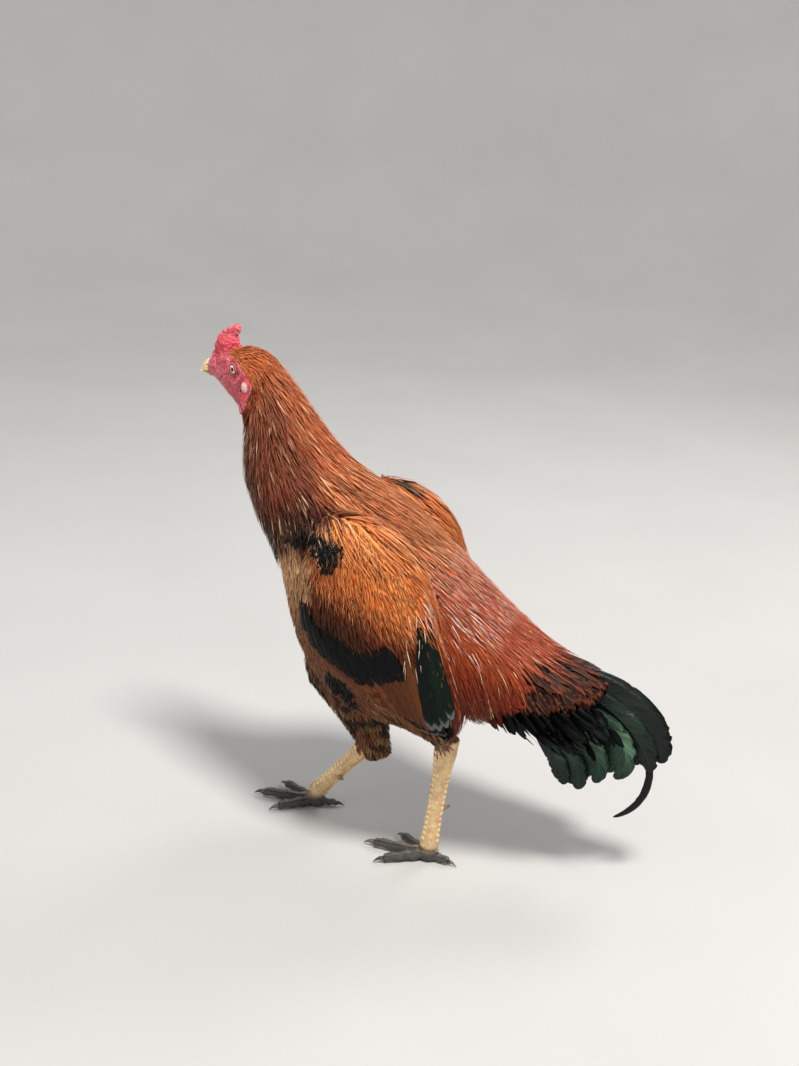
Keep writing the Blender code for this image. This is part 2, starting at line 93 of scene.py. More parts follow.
def through(table, places):
    """A smooth curve through a table's rows, read at many fractional rows."""
    last = len(table) - 1
    k = np.clip(np.floor(places).astype(int), 0, last - 1)
    t = (places - k)[:, None]
    a, b, c, d = (table[np.clip(k + i, 0, last)] for i in (-1, 0, 1, 2))
    return 0.5 * (2 * b + (c - a) * t + (2 * a - 5 * b + 4 * c - d) * t ** 2
                  + (3 * b - a - 3 * c + d) * t ** 3)


def ease(value, low, high):
    """0 below low, 1 above high, and smooth between."""
    t = np.clip((np.asarray(value, float) - low) / (high - low), 0, 1)
    return t * t * (3 - 2 * t)


def mix(a, b, t):
    """From a to b by t. A colour is a row of three, and t then holds one value for each row."""
    a, b, t = (np.asarray(value, float) for value in (a, b, t))
    colours = any(value.ndim and value.shape[-1] == 3 for value in (a, b))
    if colours and (t.ndim != max(a.ndim, b.ndim) or t.ndim == 1):
        t = t[..., None]
    return a + (b - a) * t


def unit(vectors):
    return vectors / np.maximum(np.linalg.norm(vectors, axis=-1, keepdims=True), 1e-12)


def turned(vectors, share, about=HEAD_TURN_X, back=False):
    """Points or directions after that share of the head's turn, or before it."""
    angle = HEAD_TURN * np.asarray(share, float) * (1 if back else -1)
    c, s = np.cos(angle), np.sin(angle)
    x, y = vectors[..., 0] - about, vectors[..., 1]
    return np.stack([about + c * x - s * y, s * x + c * y, vectors[..., 2]], -1)


def head_local(points):
    """Packed points in the coordinates of a head that looks straight ahead."""
    return turned(points - SHIFT, 1.0, back=True)


def from_head_local(points):
    return turned(np.asarray(points, float), 1.0) + SHIFT


ROW_SAMPLES = np.linspace(0, LAST_ROW, LAST_ROW * 12 + 1)
LINE_SAMPLES = through(LINES, ROW_SAMPLES)


def turn_share(row):
    return ease(TURN_STARTS - row, 0, TURN_STARTS - TURN_ENDS)


def tube_rows(flat):
    """The row of each x, z point, and how far it lies from the back (0) to the belly (1)."""
    tops, bottoms = LINE_SAMPLES[:, :2], LINE_SAMPLES[:, 2:]
    rule = bottoms - tops
    length2 = (rule ** 2).sum(1)
    rows, downs = [], []
    for part in np.array_split(flat, max(1, len(flat) // 4000)):
        away = part[:, None, :] - tops[None]
        down = (away * rule[None]).sum(2) / length2[None]
        held = np.clip(down, 0, 1)
        gap = ((away - rule[None] * held[..., None]) ** 2).sum(2)
        best = gap.argmin(1)
        rows.append(ROW_SAMPLES[best])
        downs.append(held[np.arange(len(part)), best])
    return np.concatenate(rows), np.concatenate(downs)


def body_place(points):
    """Row along the body and share of the way from back to belly, for packed points."""
    own = points - SHIFT
    row, down = tube_rows(own[:, [0, 2]])
    for _ in range(2):
        row, down = tube_rows(turned(own, turn_share(row), back=True)[:, [0, 2]])
    return row, down


def lattice(i, j, k, seed):
    h = (i * 374761393 + j * 668265263 + k * 1440662683 + seed * 974634777) & 0xFFFFFFFF
    h = ((h ^ (h >> 13)) * 1274126177) & 0xFFFFFFFF
    return ((h ^ (h >> 16)) & 0xFFFFFF) / float(0xFFFFFF) * 2 - 1


def unevenness(points, size, seed=0):
    """Smooth random values between -1 and 1, alike within about that size."""
    scaled = np.asarray(points, float) / size
    cell = np.floor(scaled).astype(np.int64)
    t = scaled - cell
    t = t * t * (3 - 2 * t)
    found = 0.0
    for di in (0, 1):
        for dj in (0, 1):
            for dk in (0, 1):
                share = np.ones(len(points))
                for axis, step in enumerate((di, dj, dk)):
                    share = share * (t[:, axis] if step else 1 - t[:, axis])
                corner = lattice(cell[:, 0] + di, cell[:, 1] + dj, cell[:, 2] + dk, seed)
                found = found + share * corner
    return found


# ---- colours (linear) -------------------------------------------------------------------------

CROWN_ORANGE = (0.60, 0.175, 0.060)
HACKLE_COPPER = (0.50, 0.118, 0.034)
HACKLE_RED = (0.190, 0.038, 0.013)
HACKLE_DEEP_AND_SHADE = (0.100, 0.019, 0.008)
HACKLE_SHADE = (0.022, 0.007, 0.004)
CAPE_GOLD = (0.56, 0.165, 0.050)
STRAW = (0.84, 0.50, 0.27)
BOW_GOLD = (0.80, 0.26, 0.070)
BOW_ORANGE = (0.68, 0.180, 0.040)
BOW_RUST = (0.150, 0.030, 0.010)
BOW_DARK = (0.034, 0.009, 0.005)
BLACK = (0.0042, 0.0048, 0.0050)
BOTTLE_GREEN = (0.006, 0.020, 0.012)
GREEN_SHEEN = (0.082, 0.150, 0.094)
SILVER = (0.22, 0.225, 0.235)
BAY = (0.130, 0.042, 0.0145)
BAY_DARK = (0.075, 0.022, 0.009)
BAY_LIGHT = (0.250, 0.092, 0.034)
# A painted highlight: the pale pink of the saddle's top.
SADDLE_TOP_HIGHLIGHT = (0.49, 0.108, 0.054)
SADDLE_RED = (0.31, 0.036, 0.009)
SADDLE_DEEP = (0.120, 0.015, 0.005)
SADDLE_ORANGE = (0.42, 0.078, 0.020)
BREAST_TAN = (0.62, 0.33, 0.165)
BREAST_BROWN = (0.190, 0.076, 0.030)
BELLY_RUST = (0.180, 0.058, 0.022)
VENT_BUFF = (0.24, 0.140, 0.075)
THIGH_DARK = (0.018, 0.011, 0.008)
FACE_RED = (0.62, 0.058, 0.088)
FACE_PINK = (0.88, 0.270, 0.300)
FACE_DEEP = (0.30, 0.022, 0.038)
COMB_RED = (0.80, 0.090, 0.130)
LID_RED = (0.13, 0.030, 0.030)
LOBE_WHITE = (0.92, 0.66, 0.54)
SHANK_YELLOW = (0.99, 0.69, 0.34)
SHANK_PINK = (0.90, 0.56, 0.32)
TOE_GREY = (0.075, 0.068, 0.060)

# ---- where the wing's fields of colour lie: x, z in the maker's coordinates --------------------


def bar_lower(x):
    return np.interp(x, (-0.128, -0.115, -0.100, -0.082, -0.068, -0.046, -0.026, -0.006),
                     (0.292, 0.270, 0.248, 0.235, 0.229, 0.220, 0.222, 0.232))


def bar_upper(x):
    return np.interp(x, (-0.128, -0.118, -0.107, -0.090, -0.072, -0.049, -0.027, -0.007),
                     (0.312, 0.298, 0.280, 0.268, 0.263, 0.254, 0.246, 0.246))


def saddle_end(z):
    """The x at which the red of the saddle gives way to the dark coverts, at each height."""
    return np.interp(z, (0.170, 0.190, 0.215, 0.245, 0.265, 0.285),
                     (0.128, 0.128, 0.122, 0.112, 0.118, 0.150))


def hem_height(x):
    """The height of the cape's hem over the wing."""
    return np.interp(x, (-0.130, -0.105, -0.081, -0.056, -0.029, -0.013, 0.004, 0.012, 0.030, 0.046, 0.063),
                     (0.372, 0.374, 0.382, 0.380, 0.368, 0.350, 0.322, 0.292, 0.246, 0.207, 0.190))


# ---- mesh helpers -----------------------------------------------------------------------------

def new_object(name, mesh):
    made = bpy.data.objects.new(name, mesh)
    bpy.context.scene.collection.objects.link(made)
    return made


def coordinates(mesh):
    found = np.empty(len(mesh.vertices) * 3)
    mesh.vertices.foreach_get("co", found)
    return found.reshape(-1, 3)


def set_coordinates(mesh, places):
    mesh.vertices.foreach_set("co", np.asarray(places, np.float32).ravel())
    mesh.update()


def normals_of(mesh):
    found = np.empty(len(mesh.vertices) * 3, np.float32)
    mesh.vertex_normals.foreach_get("vector", found)
    return found.reshape(-1, 3).astype(float)


def edges_of(mesh):
    found = np.empty(len(mesh.edges) * 2, np.int32)
    mesh.edges.foreach_get("vertices", found)
    return found.reshape(-1, 2)


def smoothed(values, edges, rounds, amount=0.5, back=0.0):
    """Values spread along the edges. A second step of the other sign keeps the volume."""
    values = np.asarray(values, float)
    flat = values.ndim == 1
    if flat:
        values = values[:, None]
    ends = np.concatenate((edges[:, 0], edges[:, 1]))
    others = np.concatenate((edges[:, 1], edges[:, 0]))
    count = np.maximum(np.bincount(ends, minlength=len(values)), 1)[:, None]
    for _ in range(rounds):
        for step in (amount, back):
            if step:
                around = np.stack([np.bincount(ends, values[others, axis], len(values))
                                   for axis in range(values.shape[1])], 1) / count
                values = values + step * (around - values)
    return values[:, 0] if flat else values


def merged_copy(node, grow=0.0):
    """The CAD node's mesh with its doubles merged, moved out a little."""
    work = bmesh.new()
    work.from_mesh(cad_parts[node].data)
    bmesh.ops.remove_doubles(work, verts=work.verts, dist=2e-5)
    bmesh.ops.dissolve_degenerate(work, edges=work.edges, dist=1e-6)
    work.normal_update()
    if grow:
        for vertex in work.verts:
            vertex.co += vertex.normal * grow
    return work


def remeshed(name, nodes, voxel, grow=0.0):
    """One closed mesh round all these CAD nodes."""
    whole = bpy.data.meshes.new(name)
    total = bmesh.new()
    for node in nodes:
        part = merged_copy(node, grow)
        part.to_mesh(whole)
        part.free()
        total.from_mesh(whole)
    total.to_mesh(whole)
    total.free()
    made = new_object(name, whole)
    remesh = made.modifiers.new("remesh", "REMESH")
    remesh.mode = "VOXEL"
    remesh.voxel_size = voxel
    return baked(made)


def baked(made):
    """The object with its modifiers turned into plain mesh."""
    bpy.context.view_layer.update()
    graph = bpy.context.evaluated_depsgraph_get()
    mesh = bpy.data.meshes.new_from_object(made.evaluated_get(graph))
    made.modifiers.clear()
    made.data = mesh
    mesh.name = made.name
    return made


def surface_of(mesh):
    """A tree that finds the nearest place on a mesh, and its polygons' corner lists."""
    corners = [tuple(polygon.vertices) for polygon in mesh.polygons]
    return BVHTree.FromPolygons(coordinates(mesh).tolist(), corners), corners


def colour_vertices(mesh, colours):
    layer = mesh.color_attributes.new("Plumage", "FLOAT_COLOR", "POINT")
    rgba = np.ones((len(mesh.vertices), 4), np.float32)
    rgba[:, :3] = np.clip(colours, 0, 1)
    layer.data.foreach_set("color", rgba.ravel())
    mesh.color_attributes.active_color = layer


# ---- the body's outer form: what the coat's tips reach ------------------------------------------

COAT_DEPTHS = {"head": 2.6, "neck": 6.5, "trunk": 8.0, "saddle": 8.0, "wing_left": 5.5, "wing_right": 5.5,
               "thigh_left": 5.0, "thigh_right": 5.0}
BARE = ["comb", "earlobe_left", "earlobe_right", "wattle_left", "wattle_right", "shank_left",
        "shank_right", "foot_left", "foot_right"]
FLESH = list(COAT_DEPTHS) + BARE
SKIN_VOXEL = 1.6 * MM


def face_border(z):
    """The head-local x at which bare face gives way to feathers, at each height."""
    return np.interp(z, (0.470, 0.482, 0.490, 0.498, 0.503, 0.508, 0.5135, 0.519, 0.5235, 0.531, 0.539),
                     (-0.206, -0.197, -0.1910, -0.1865, -0.1880, -0.1935, -0.2005, -0.2080, -0.2150, -0.2225,
                      -0.2260))


def labels_at(points):
    """Index in FLESH of the node nearest to each point, with the nearest place on it."""
    places, corners, owners = [], [], []
    for index, node in enumerate(FLESH):
        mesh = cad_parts[node].data
        base = len(places)
        places.extend(coordinates(mesh).tolist())
        for polygon in mesh.polygons:
            corners.append([base + v for v in polygon.vertices])
            owners.append(index)
    tree = BVHTree.FromPolygons(places, corners)
    near = [tree.find_nearest(p) for p in points.tolist()]
    labels = np.array([owners[hit[2]] for hit in near])
    return labels, np.array([hit[0] for hit in near])


def are(labels, *nodes):
    """Which of the labels stand for one of these nodes."""
    return np.isin(labels, [FLESH.index(node) for node in nodes])


def bareness(points, labels):
    """1 where the skin shows bare, 0 where it is feathered."""
    own = head_local(points)
    on_head = labels == FLESH.index("head")
    face = ease(face_border(own[:, 2]) - own[:, 0], -1.0 * MM, 1.5 * MM)
    crown = ease(own[:, 2], 0.5240, 0.5300) * ease(own[:, 0], -0.2330, -0.2270)
    bare = np.where(on_head, face * (1 - crown), 0.0)
    return np.where(labels >= FLESH.index("comb"), 1.0, bare)


def valley_fill(places, labels, edges, normals):
    """Moves that carry the back's coat over the wings' upper and rear edges, where it lies unbroken."""
    own = places - SHIFT
    row, down = body_place(places)
    wing = are(labels, "wing_left", "wing_right")
    body = are(labels, "neck", "trunk", "saddle")
    along = ease(row, 8.6, 10.2) * (1 - ease(row, 14.2, 15.6))
    share = np.where(body, along * (1 - ease(down, 0.52, 0.66)), 0.0)
    share = np.where(wing, ease(own[:, 2] - hem_height(own[:, 0]), -0.026, 0.0), share)
    share = smoothed(share, edges, 12)
    soft = smoothed(places, edges, 300, 0.5)
    move = ((soft - places) * normals).sum(1)
    top = 1 - ease(np.abs(own[:, 1]), 0.012, 0.030)
    outward = 1 - top * ease(row, 11.5, 13.0)
    inward = mix(0.45, 0.80, ease(-own[:, 0], 0.045, 0.075))
    move = smoothed(np.where(move > 0, outward * move, inward * move) * share, edges, 6)
    return normals * move[:, None]


def tuck_vent(places, labels):
    """The belly behind the legs drawn up, so that the saddle hangs clear of it."""
    own = places - SHIFT
    body = are(labels, "trunk", "saddle")
    along = ease(own[:, 0], 0.000, 0.040) * (1 - ease(own[:, 0], 0.090, 0.135))
    share = along * ease(0.205 - own[:, 2], 0.0, 0.040)
    moved = places.copy()
    moved[:, 2] += 0.016 * share * body
    return moved


outer = remeshed("outer_form", FLESH, SKIN_VOXEL, 0.45 * MM)
outer_places = coordinates(outer.data)
outer_labels, nearest = labels_at(outer_places)
outer_edges = edges_of(outer.data)
gap = np.linalg.norm(nearest - outer_places, axis=1, keepdims=True)
outer_places = np.where(gap < 1.5 * MM, nearest, outer_places)
fleshy = are(outer_labels, *BARE)
even = smoothed(outer_places, outer_edges, 14, 0.5, -0.52)
gentle = smoothed(outer_places, outer_edges, 5, 0.5, -0.52)
outer_places = np.where(fleshy[:, None], gentle, even)
outer_places[:, 2] = np.maximum(outer_places[:, 2], 0.0)
outer_places = tuck_vent(outer_places, outer_labels)
set_coordinates(outer.data, outer_places)
outer_places = outer_places + valley_fill(outer_places, outer_labels, outer_edges, normals_of(outer.data))
set_coordinates(outer.data, outer_places)
outer_normals = unit(smoothed(normals_of(outer.data), outer_edges, 6))
bare = bareness(outer_places, outer_labels)
depth = np.array([COAT_DEPTHS.get(node, 0.0) for node in FLESH])[outer_labels] * MM * (1 - bare)
depth = smoothed(depth, outer_edges, 10) * (1 - smoothed(bare, outer_edges, 2))
OUTER_TREE, outer_corners = surface_of(outer.data)
first_corners = np.array([c[:3] for c in outer_corners])
FACE_NORMALS = unit(outer_normals[first_corners].mean(1))
FACE_DEPTHS = depth[first_corners].mean(1)
FACE_LABELS = outer_labels[first_corners[:, 0]]
FACE_CENTRES = outer_places[first_corners].mean(1)
FACE_BARE = bare[first_corners].mean(1)
FACE_ROWS, FACE_DOWNS = body_place(FACE_CENTRES)


def read_outer(points):
    """Nearest place on the outer form, with the normal and the coat's depth there."""
    hits = [OUTER_TREE.find_nearest(p) for p in points.tolist()]
    faces = np.array([hit[2] for hit in hits])
    return np.array([hit[0] for hit in hits]), FACE_NORMALS[faces], FACE_DEPTHS[faces], faces


# ---- markings: one account of the plumage's colours for skin and coat ---------------------------

def blotch(x, z, centre_x, centre_z, wide, high):
    return 1 - ease(np.hypot((x - centre_x) / wide, (z - centre_z) / high), 0.75, 1.1)


def neck_colour(row, down):
    copper = mix(CROWN_ORANGE, HACKLE_COPPER, ease(row, 4.5, 6.5))
    side = mix(copper, HACKLE_RED, ease(down, 0.05, 0.27) * ease(row, 5.4, 7.4))
    # Painted shade on the neck's front and low front, over its deeper red.
    front = mix(side, HACKLE_DEEP_AND_SHADE, ease(down, 0.50, 0.95) * ease(row, 5.0, 7.0))
    low = mix(front, HACKLE_SHADE, ease(row, 7.6, 9.6) * ease(down, 0.45, 0.85))
    nape = ease(row, 7.8, 9.8) * (1 - ease(down, 0.10, 0.36))
    return mix(low, mix(HACKLE_COPPER, CAPE_GOLD, ease(row, 8.5, 10.5)), nape)


def shoulder_black(own):
    """The ragged black in front of and on the wing's shoulder, black feathers and painted shade under the
    cape's hem, and the marks low on the breast.
    """
    x = own[:, 0] + 0.0040 * unevenness(own, 0.0075, 3)
    z = own[:, 2] + 0.0040 * unevenness(own, 0.0070, 4)
    # Black feathers and painted shade under the cape's hem.
    high = blotch(x, z, -0.0960, 0.3655, 0.0250, 0.0090)
    high = np.maximum(high, blotch(x, z, -0.1215, 0.3635, 0.0170, 0.0085))
    high = np.maximum(high, blotch(x, z, -0.0890, 0.3530, 0.0100, 0.0125))
    low = blotch(x, z, -0.0800, 0.2085, 0.0150, 0.0120)
    low = np.maximum(low, blotch(x, z, -0.0700, 0.1930, 0.0080, 0.0120))
    aside = np.abs(own[:, 1])
    return np.maximum(high * ease(aside, 0.036, 0.046), low * ease(aside, 0.030, 0.045))


def back_colour(row, down, own, coverts=True):
    cape = mix(CAPE_GOLD, BOW_ORANGE, ease(down, 0.12, 0.50) * 0.6)
    # Painted shade on the cape's front, below the neck.
    cape = mix(cape, HACKLE_DEEP_AND_SHADE, (1 - ease(own[:, 0], -0.098, -0.050)) * ease(down, 0.20, 0.34))
    streaks = ease(unevenness(own * (1, 1.6, 1), 0.010, 17), 0.42, 0.62) * ease(down, 0.08, 0.16)
    cape = mix(cape, BLACK, 0.85 * streaks * ease(row, 9.6, 10.2))
    # The saddle's top is painted pale pink as a highlight.
    top = mix(SADDLE_TOP_HIGHLIGHT, SADDLE_ORANGE, ease(down, 0.05, 0.22))
    top = mix(top, SADDLE_ORANGE, ease(row, 14.2, 16.2))
    side = mix(SADDLE_RED, SADDLE_DEEP, ease(0.30 - own[:, 2], 0.0, 0.11) * (1 - ease(own[:, 0], 0.06, 0.14)))
    side = mix(side, SADDLE_ORANGE, ease(row, 14.6, 16.6) * 0.55)
    saddle = mix(top, side, ease(down, 0.10, 0.36))
    if coverts:
        ragged = 0.012 * unevenness(own, 0.010, 9)
        saddle = mix(saddle, BLACK, ease(own[:, 0] + ragged - saddle_end(own[:, 2]), -0.006, 0.004))
    return mix(cape, saddle, ease(row + 1.2 * down, 11.7, 12.9))


def under_colour(row, own):
    breast = mix(BREAST_TAN, BREAST_BROWN, ease(row, 10.3, 11.6))
    belly = mix(breast, BELLY_RUST, ease(row, 11.8, 12.8))
    belly = mix(belly, VENT_BUFF, ease(row, 13.0, 14.0) * 0.8)
    return mix(belly, BLACK, ease(own[:, 0], 0.072, 0.086))


def wing_colour(own):
    x, z = own[:, 0], own[:, 2]
    above = z - bar_upper(x)
    top = mix(BOW_GOLD, BOW_ORANGE, ease(hem_height(x) - z, 0.0, 0.055))
    risen = above + 0.006 * unevenness(own, 0.012, 7) + 0.014 * ease(x, -0.060, -0.010)
    bow = mix(top, BOW_RUST, 1 - ease(risen, 0.030, 0.078))
    bow = mix(bow, BOW_DARK, 1 - ease(risen, 0.012, 0.046))
    band = ease(above, 0.0, 0.03) * (1 - ease(above, 0.07, 0.10))
    bow = mix(bow, BOW_RUST, 0.8 * ease(-0.094 - x, 0.0, 0.020) * band)
    front = ease(-0.1085 - x + 0.006 * unevenness(own, 0.007, 18), -0.003, 0.004)
    bow = mix(bow, BREAST_TAN, 0.8 * front * ease(0.352 - z, 0.0, 0.02))
    bar = ease(bar_upper(x) - z, -0.001, 0.001) * ease(z - bar_lower(x), -0.001, 0.001)
    bay = mix(BAY, BAY_DARK, ease(0.215 - z, 0.0, 0.045))
    bay = mix(bay, BAY_LIGHT, ease(unevenness(own, 0.011, 15) + 0.6 * unevenness(own, 0.005, 16), 0.0, 0.9))
    strip = mix(BREAST_TAN, BREAST_BROWN, ease(0.30 - z, 0.0, 0.06))
    lower = mix(strip, bay, ease(z - (0.222 - (x + 0.063) * 0.536), -0.003, 0.003))
    lower = mix(lower, BLACK, ease(x - (0.010 + np.clip(0.269 - z, 0, 0.1) * 0.19), -0.001, 0.001))
    found = mix(mix(lower, bow, ease(z - bar_upper(x), -0.001, 0.001)), BLACK, bar)
    # The hackle over the wing is painted darker at its front as shade.
    over = mix(HACKLE_DEEP_AND_SHADE, BOW_ORANGE, ease(x, -0.090, -0.050))
    return mix(found, over, ease(z - hem_height(x), -0.002, 0.004))


def thigh_colour(own):
    dark = ease(unevenness(own, 0.011, 5) + 0.5 * unevenness(own, 0.005, 6), -0.45, 0.25)
    warm = mix(BREAST_BROWN, BELLY_RUST, ease(own[:, 2], 0.14, 0.19))
    shin = mix(warm, THIGH_DARK, dark * ease(0.195 - own[:, 2], 0.0, 0.03))
    return mix(shin, BREAST_TAN, 0.30 * ease(unevenness(own, 0.006, 8), 0.0, 0.7))


def plumage_at(points, labels):
    """The coat's colour at packed points of the outer form."""
    own = points - SHIFT
    row, down = body_place(points)
    body = mix(back_colour(row, down, own), under_colour(row, own), ease(down, 0.60, 0.72))
    found = mix(neck_colour(row, down), body, ease(row, 8.8, 9.6))
    wing = are(labels, "wing_left", "wing_right")
    thigh = are(labels, "thigh_left", "thigh_right")
    found = np.where(wing[:, None], wing_colour(own), found)
    found = np.where(thigh[:, None], thigh_colour(own), found)
    notch = blotch(own[:, 0], own[:, 2], -0.036, 0.391, 0.016, 0.010) * ease(own[:, 1], 0.012, 0.020)
    return mix(found, BLACK, np.maximum(notch, shoulder_black(own)))


def across_wattle(x, z):
    """How far behind the wattle's front edge a place lies."""
    return x + 0.62 * (z - 0.480)


def bare_colour(points, labels):
    """Colours of the face, comb, lobes, wattles and legs."""
    own = head_local(points)
    x, z = own[:, 0], own[:, 2]
    patchy = 0.5 + 0.5 * unevenness(own, 0.004, 11)
    face = mix(FACE_RED, FACE_PINK, 0.06 + 0.62 * patchy * ease(-0.205 - x, 0.0, 0.045))
    face = mix(face, FACE_DEEP, 0.8 * ease(0.4 - unevenness(own, 0.0022, 12), 0.3, 1.1) * 0.6)
    face = mix(face, FACE_DEEP, 0.6 * (1 - ease(np.abs(z - 0.5195 + 0.25 * (x + 0.235)), 0.0008, 0.0030))
               * ease(-0.224 - x, 0, 0.008))
    face = mix(face, FACE_DEEP, 0.55 * ease(0.487 - z, 0.0, 0.018))
    # The comb is painted paler towards its top as a highlight.
    comb = mix(COMB_RED, FACE_PINK, 0.45 * ease(z, 0.538, 0.556))
    comb = mix(comb, FACE_DEEP, 0.55 * ease(0.35 + unevenness(own, 0.0030, 13), 0.0, 1.3))
    lobe = mix(LOBE_WHITE, FACE_RED, ease(np.hypot((x + 0.1968) / 0.0044, (z - 0.4990) / 0.0058), 0.80, 1.02))
    wattle = mix(FACE_DEEP, FACE_RED, 0.20 + 0.80 * ease(across_wattle(x, z), -0.2045, -0.1985))
    shank = mix(SHANK_YELLOW, SHANK_PINK, ease(unevenness(points, 0.008, 14), -0.4, 0.7))
    # The feet darken towards the ground: mud on them, and painted shade near the floor.
    foot = mix(TOE_GREY, SHANK_YELLOW, ease(points[:, 2], 0.0105, 0.0215) * 0.85)
    shank = mix(foot, shank, ease(points[:, 2], 0.024, 0.040))
    kinds = {"comb": comb, "earlobe_left": lobe, "earlobe_right": lobe, "wattle_left": wattle,
             "wattle_right": wattle, "shank_left": shank, "shank_right": shank,
             "foot_left": foot, "foot_right": foot}
    found = face
    for node, colours in kinds.items():
        found = np.where((labels == FLESH.index(node))[:, None], colours, found)
    return found


# ---- the skin -----------------------------------------------------------------------------------

EYE_CENTRES = {side: np.array([-0.2175, 0.0112 * sign, 0.5132]) for side, sign in SIDES.items()}
EYE_RADIUS = 7.4 * MM
OPENING_LONG, OPENING_SHORT = 5.1 * MM, 2.9 * MM
GAZE = {side: unit(np.array([0.10, 1.0 * sign, 0.10])) for side, sign in SIDES.items()}
OPENING_LEAN = math.radians(22)


def eye_axes(side):
    """The gaze, and the long and short directions of the lids' opening."""
    gaze = GAZE[side]
    long_way = np.array([math.sin(OPENING_LEAN), 0.0, -math.cos(OPENING_LEAN)])
    long_way = unit(long_way - gaze * (long_way @ gaze))
    return gaze, long_way, np.cross(gaze, long_way)


def add_lids(own, on_face):
    """Head-local points with the sockets opened and the lids raised round each eye."""
    own = own.copy()
    for side, sign in SIDES.items():
        gaze, long_way, short_way = eye_axes(side)
        away = own - EYE_CENTRES[side]
        radius = np.linalg.norm(away, axis=1)
        ray = away / radius[:, None]
        facing = ray @ gaze
        arc = EYE_RADIUS * np.arccos(np.clip(facing, -1, 1)) / np.sqrt(np.maximum(1 - facing ** 2, 1e-9))
        reach = np.hypot(ray @ long_way * arc / OPENING_LONG, ray @ short_way * arc / OPENING_SHORT)
        near = (facing > 0.05) & on_face & (own[:, 1] * sign > 0) & (radius < 2.0 * EYE_RADIUS)
        lid = EYE_RADIUS + mix(0.45 * MM, 0.95 * MM, ease(reach, 1.0, 1.35))
        lid = lid + 0.16 * MM * np.sin(reach * 15.0) * ease(reach, 1.1, 1.4) * (1 - ease(reach, 1.8, 2.3))
        hollow = EYE_RADIUS - 1.6 * MM
        target = mix(hollow, lid, ease(reach, 0.84, 1.02))
        share = 1 - ease(reach, 1.35, 2.15)
        new = mix(radius, target, share)
        own = np.where(near[:, None], EYE_CENTRES[side] + ray * new[:, None], own)
    return own


# Soft rises and hollows of the face: x, z, half length, half height, tilt in degrees, rise in mm.
FACE_FORMS = (
    (-0.2225, 0.5232, 0.0095, 0.0022, 12, 1.30),      # brow
    (-0.2385, 0.5130, 0.0055, 0.0040, 10, -1.10),     # hollow before the eye
    (-0.2480, 0.5185, 0.0035, 0.0022, 35, 1.00),      # fold over the nostril
    (-0.2430, 0.5170, 0.0012, 0.0040, 20, -0.80),
    (-0.2465, 0.5120, 0.0030, 0.0014, 5, 0.60),
    (-0.2290, 0.4990, 0.0080, 0.0062, 40, 0.90),      # cheek
    (-0.2090, 0.5065, 0.0020, 0.0075, 35, 0.90),      # fold behind the eye
    (-0.2055, 0.5030, 0.0011, 0.0060, 30, -0.70),
    (-0.2175, 0.4900, 0.0012, 0.0080, 20, -0.60),
    (-0.2390, 0.4990, 0.0110, 0.0010, 35, -0.60),     # line of the jaw
    (-0.2280, 0.4870, 0.0080, 0.0016, 42, 0.60),
    (-0.2310, 0.5055, 0.0060, 0.0008, 30, -0.35),
    (-0.2260, 0.5035, 0.0055, 0.0007, 34, -0.30),
)


def face_relief(own):
    """How far the bare face stands out from its plain form, in metres."""
    x, z = own[:, 0], own[:, 2]
    rise = np.zeros(len(own))
    for centre_x, centre_z, long_half, high_half, tilt, height in FACE_FORMS:
        c, s = math.cos(math.radians(tilt)), math.sin(math.radians(tilt))
        along = (x - centre_x) * c + (z - centre_z) * s
        across = -(x - centre_x) * s + (z - centre_z) * c
        rise += height * MM * np.exp(-(along / long_half) ** 2 - (across / high_half) ** 2)
    wrinkles = 1 - np.abs(unevenness(own, 0.0030, 21))
    rise += 0.60 * MM * (wrinkles - 0.75)
    rise += 0.22 * MM * unevenness(own, 0.0015, 22)
    return rise


def comb_relief(own):
    """Lobes and grains of the comb."""
    lobes = 1 - np.abs(unevenness(own, 0.0052, 31))
    grains = 1 - np.abs(unevenness(own, 0.0021, 32))
    return 1.9 * MM * (lobes - 0.78) + 0.75 * MM * (grains - 0.65)


def refine(mesh, chosen):
    """Halves the edges whose ends are both chosen."""
    work = bmesh.new()
    work.from_mesh(mesh)
    work.verts.ensure_lookup_table()
    edges = [e for e in work.edges if chosen[e.verts[0].index] and chosen[e.verts[1].index]]
    bmesh.ops.subdivide_edges(work, edges=edges, cuts=1, use_grid_fill=True)
    work.to_mesh(mesh)
    work.free()
    mesh.update()


def thin_out(made, keep_share, weights):
    """Fewer faces where the weight is high, because feathers cover them."""
    group = made.vertex_groups.new(name="covered")
    for level in range(1, 11):
        chosen = np.nonzero(np.round(weights * 10) == level)[0].tolist()
        if chosen:
            group.add(chosen, level / 10, "REPLACE")
    lighter = made.modifiers.new("lighter", "DECIMATE")
    lighter.ratio = keep_share
    lighter.vertex_group = "covered"
    lighter.vertex_group_factor = 1.0
    baked(made)
    made.vertex_groups.clear()


HEAD_BASE = 0.462                      # height in the head's own coordinates where the neck begins
inner_places = outer_places - outer_normals * depth[:, None]
deep = (depth > 1.0 * MM)[:, None]
inner_places = np.where(deep, smoothed(inner_places, outer_edges, 6, 0.5), inner_places)
skin = new_object("skin", outer.data.copy())
skin.data.name = "skin"
set_coordinates(skin.data, inner_places)
bald = smoothed(np.where(bare > 0.2, 1.0, 0.0), outer_edges, 4)
bald = np.maximum(bald, np.where(outer_labels == FLESH.index("head"), 1.0, 0.0))
thin_out(skin, 0.30, np.clip(1 - bald, 0, 1))

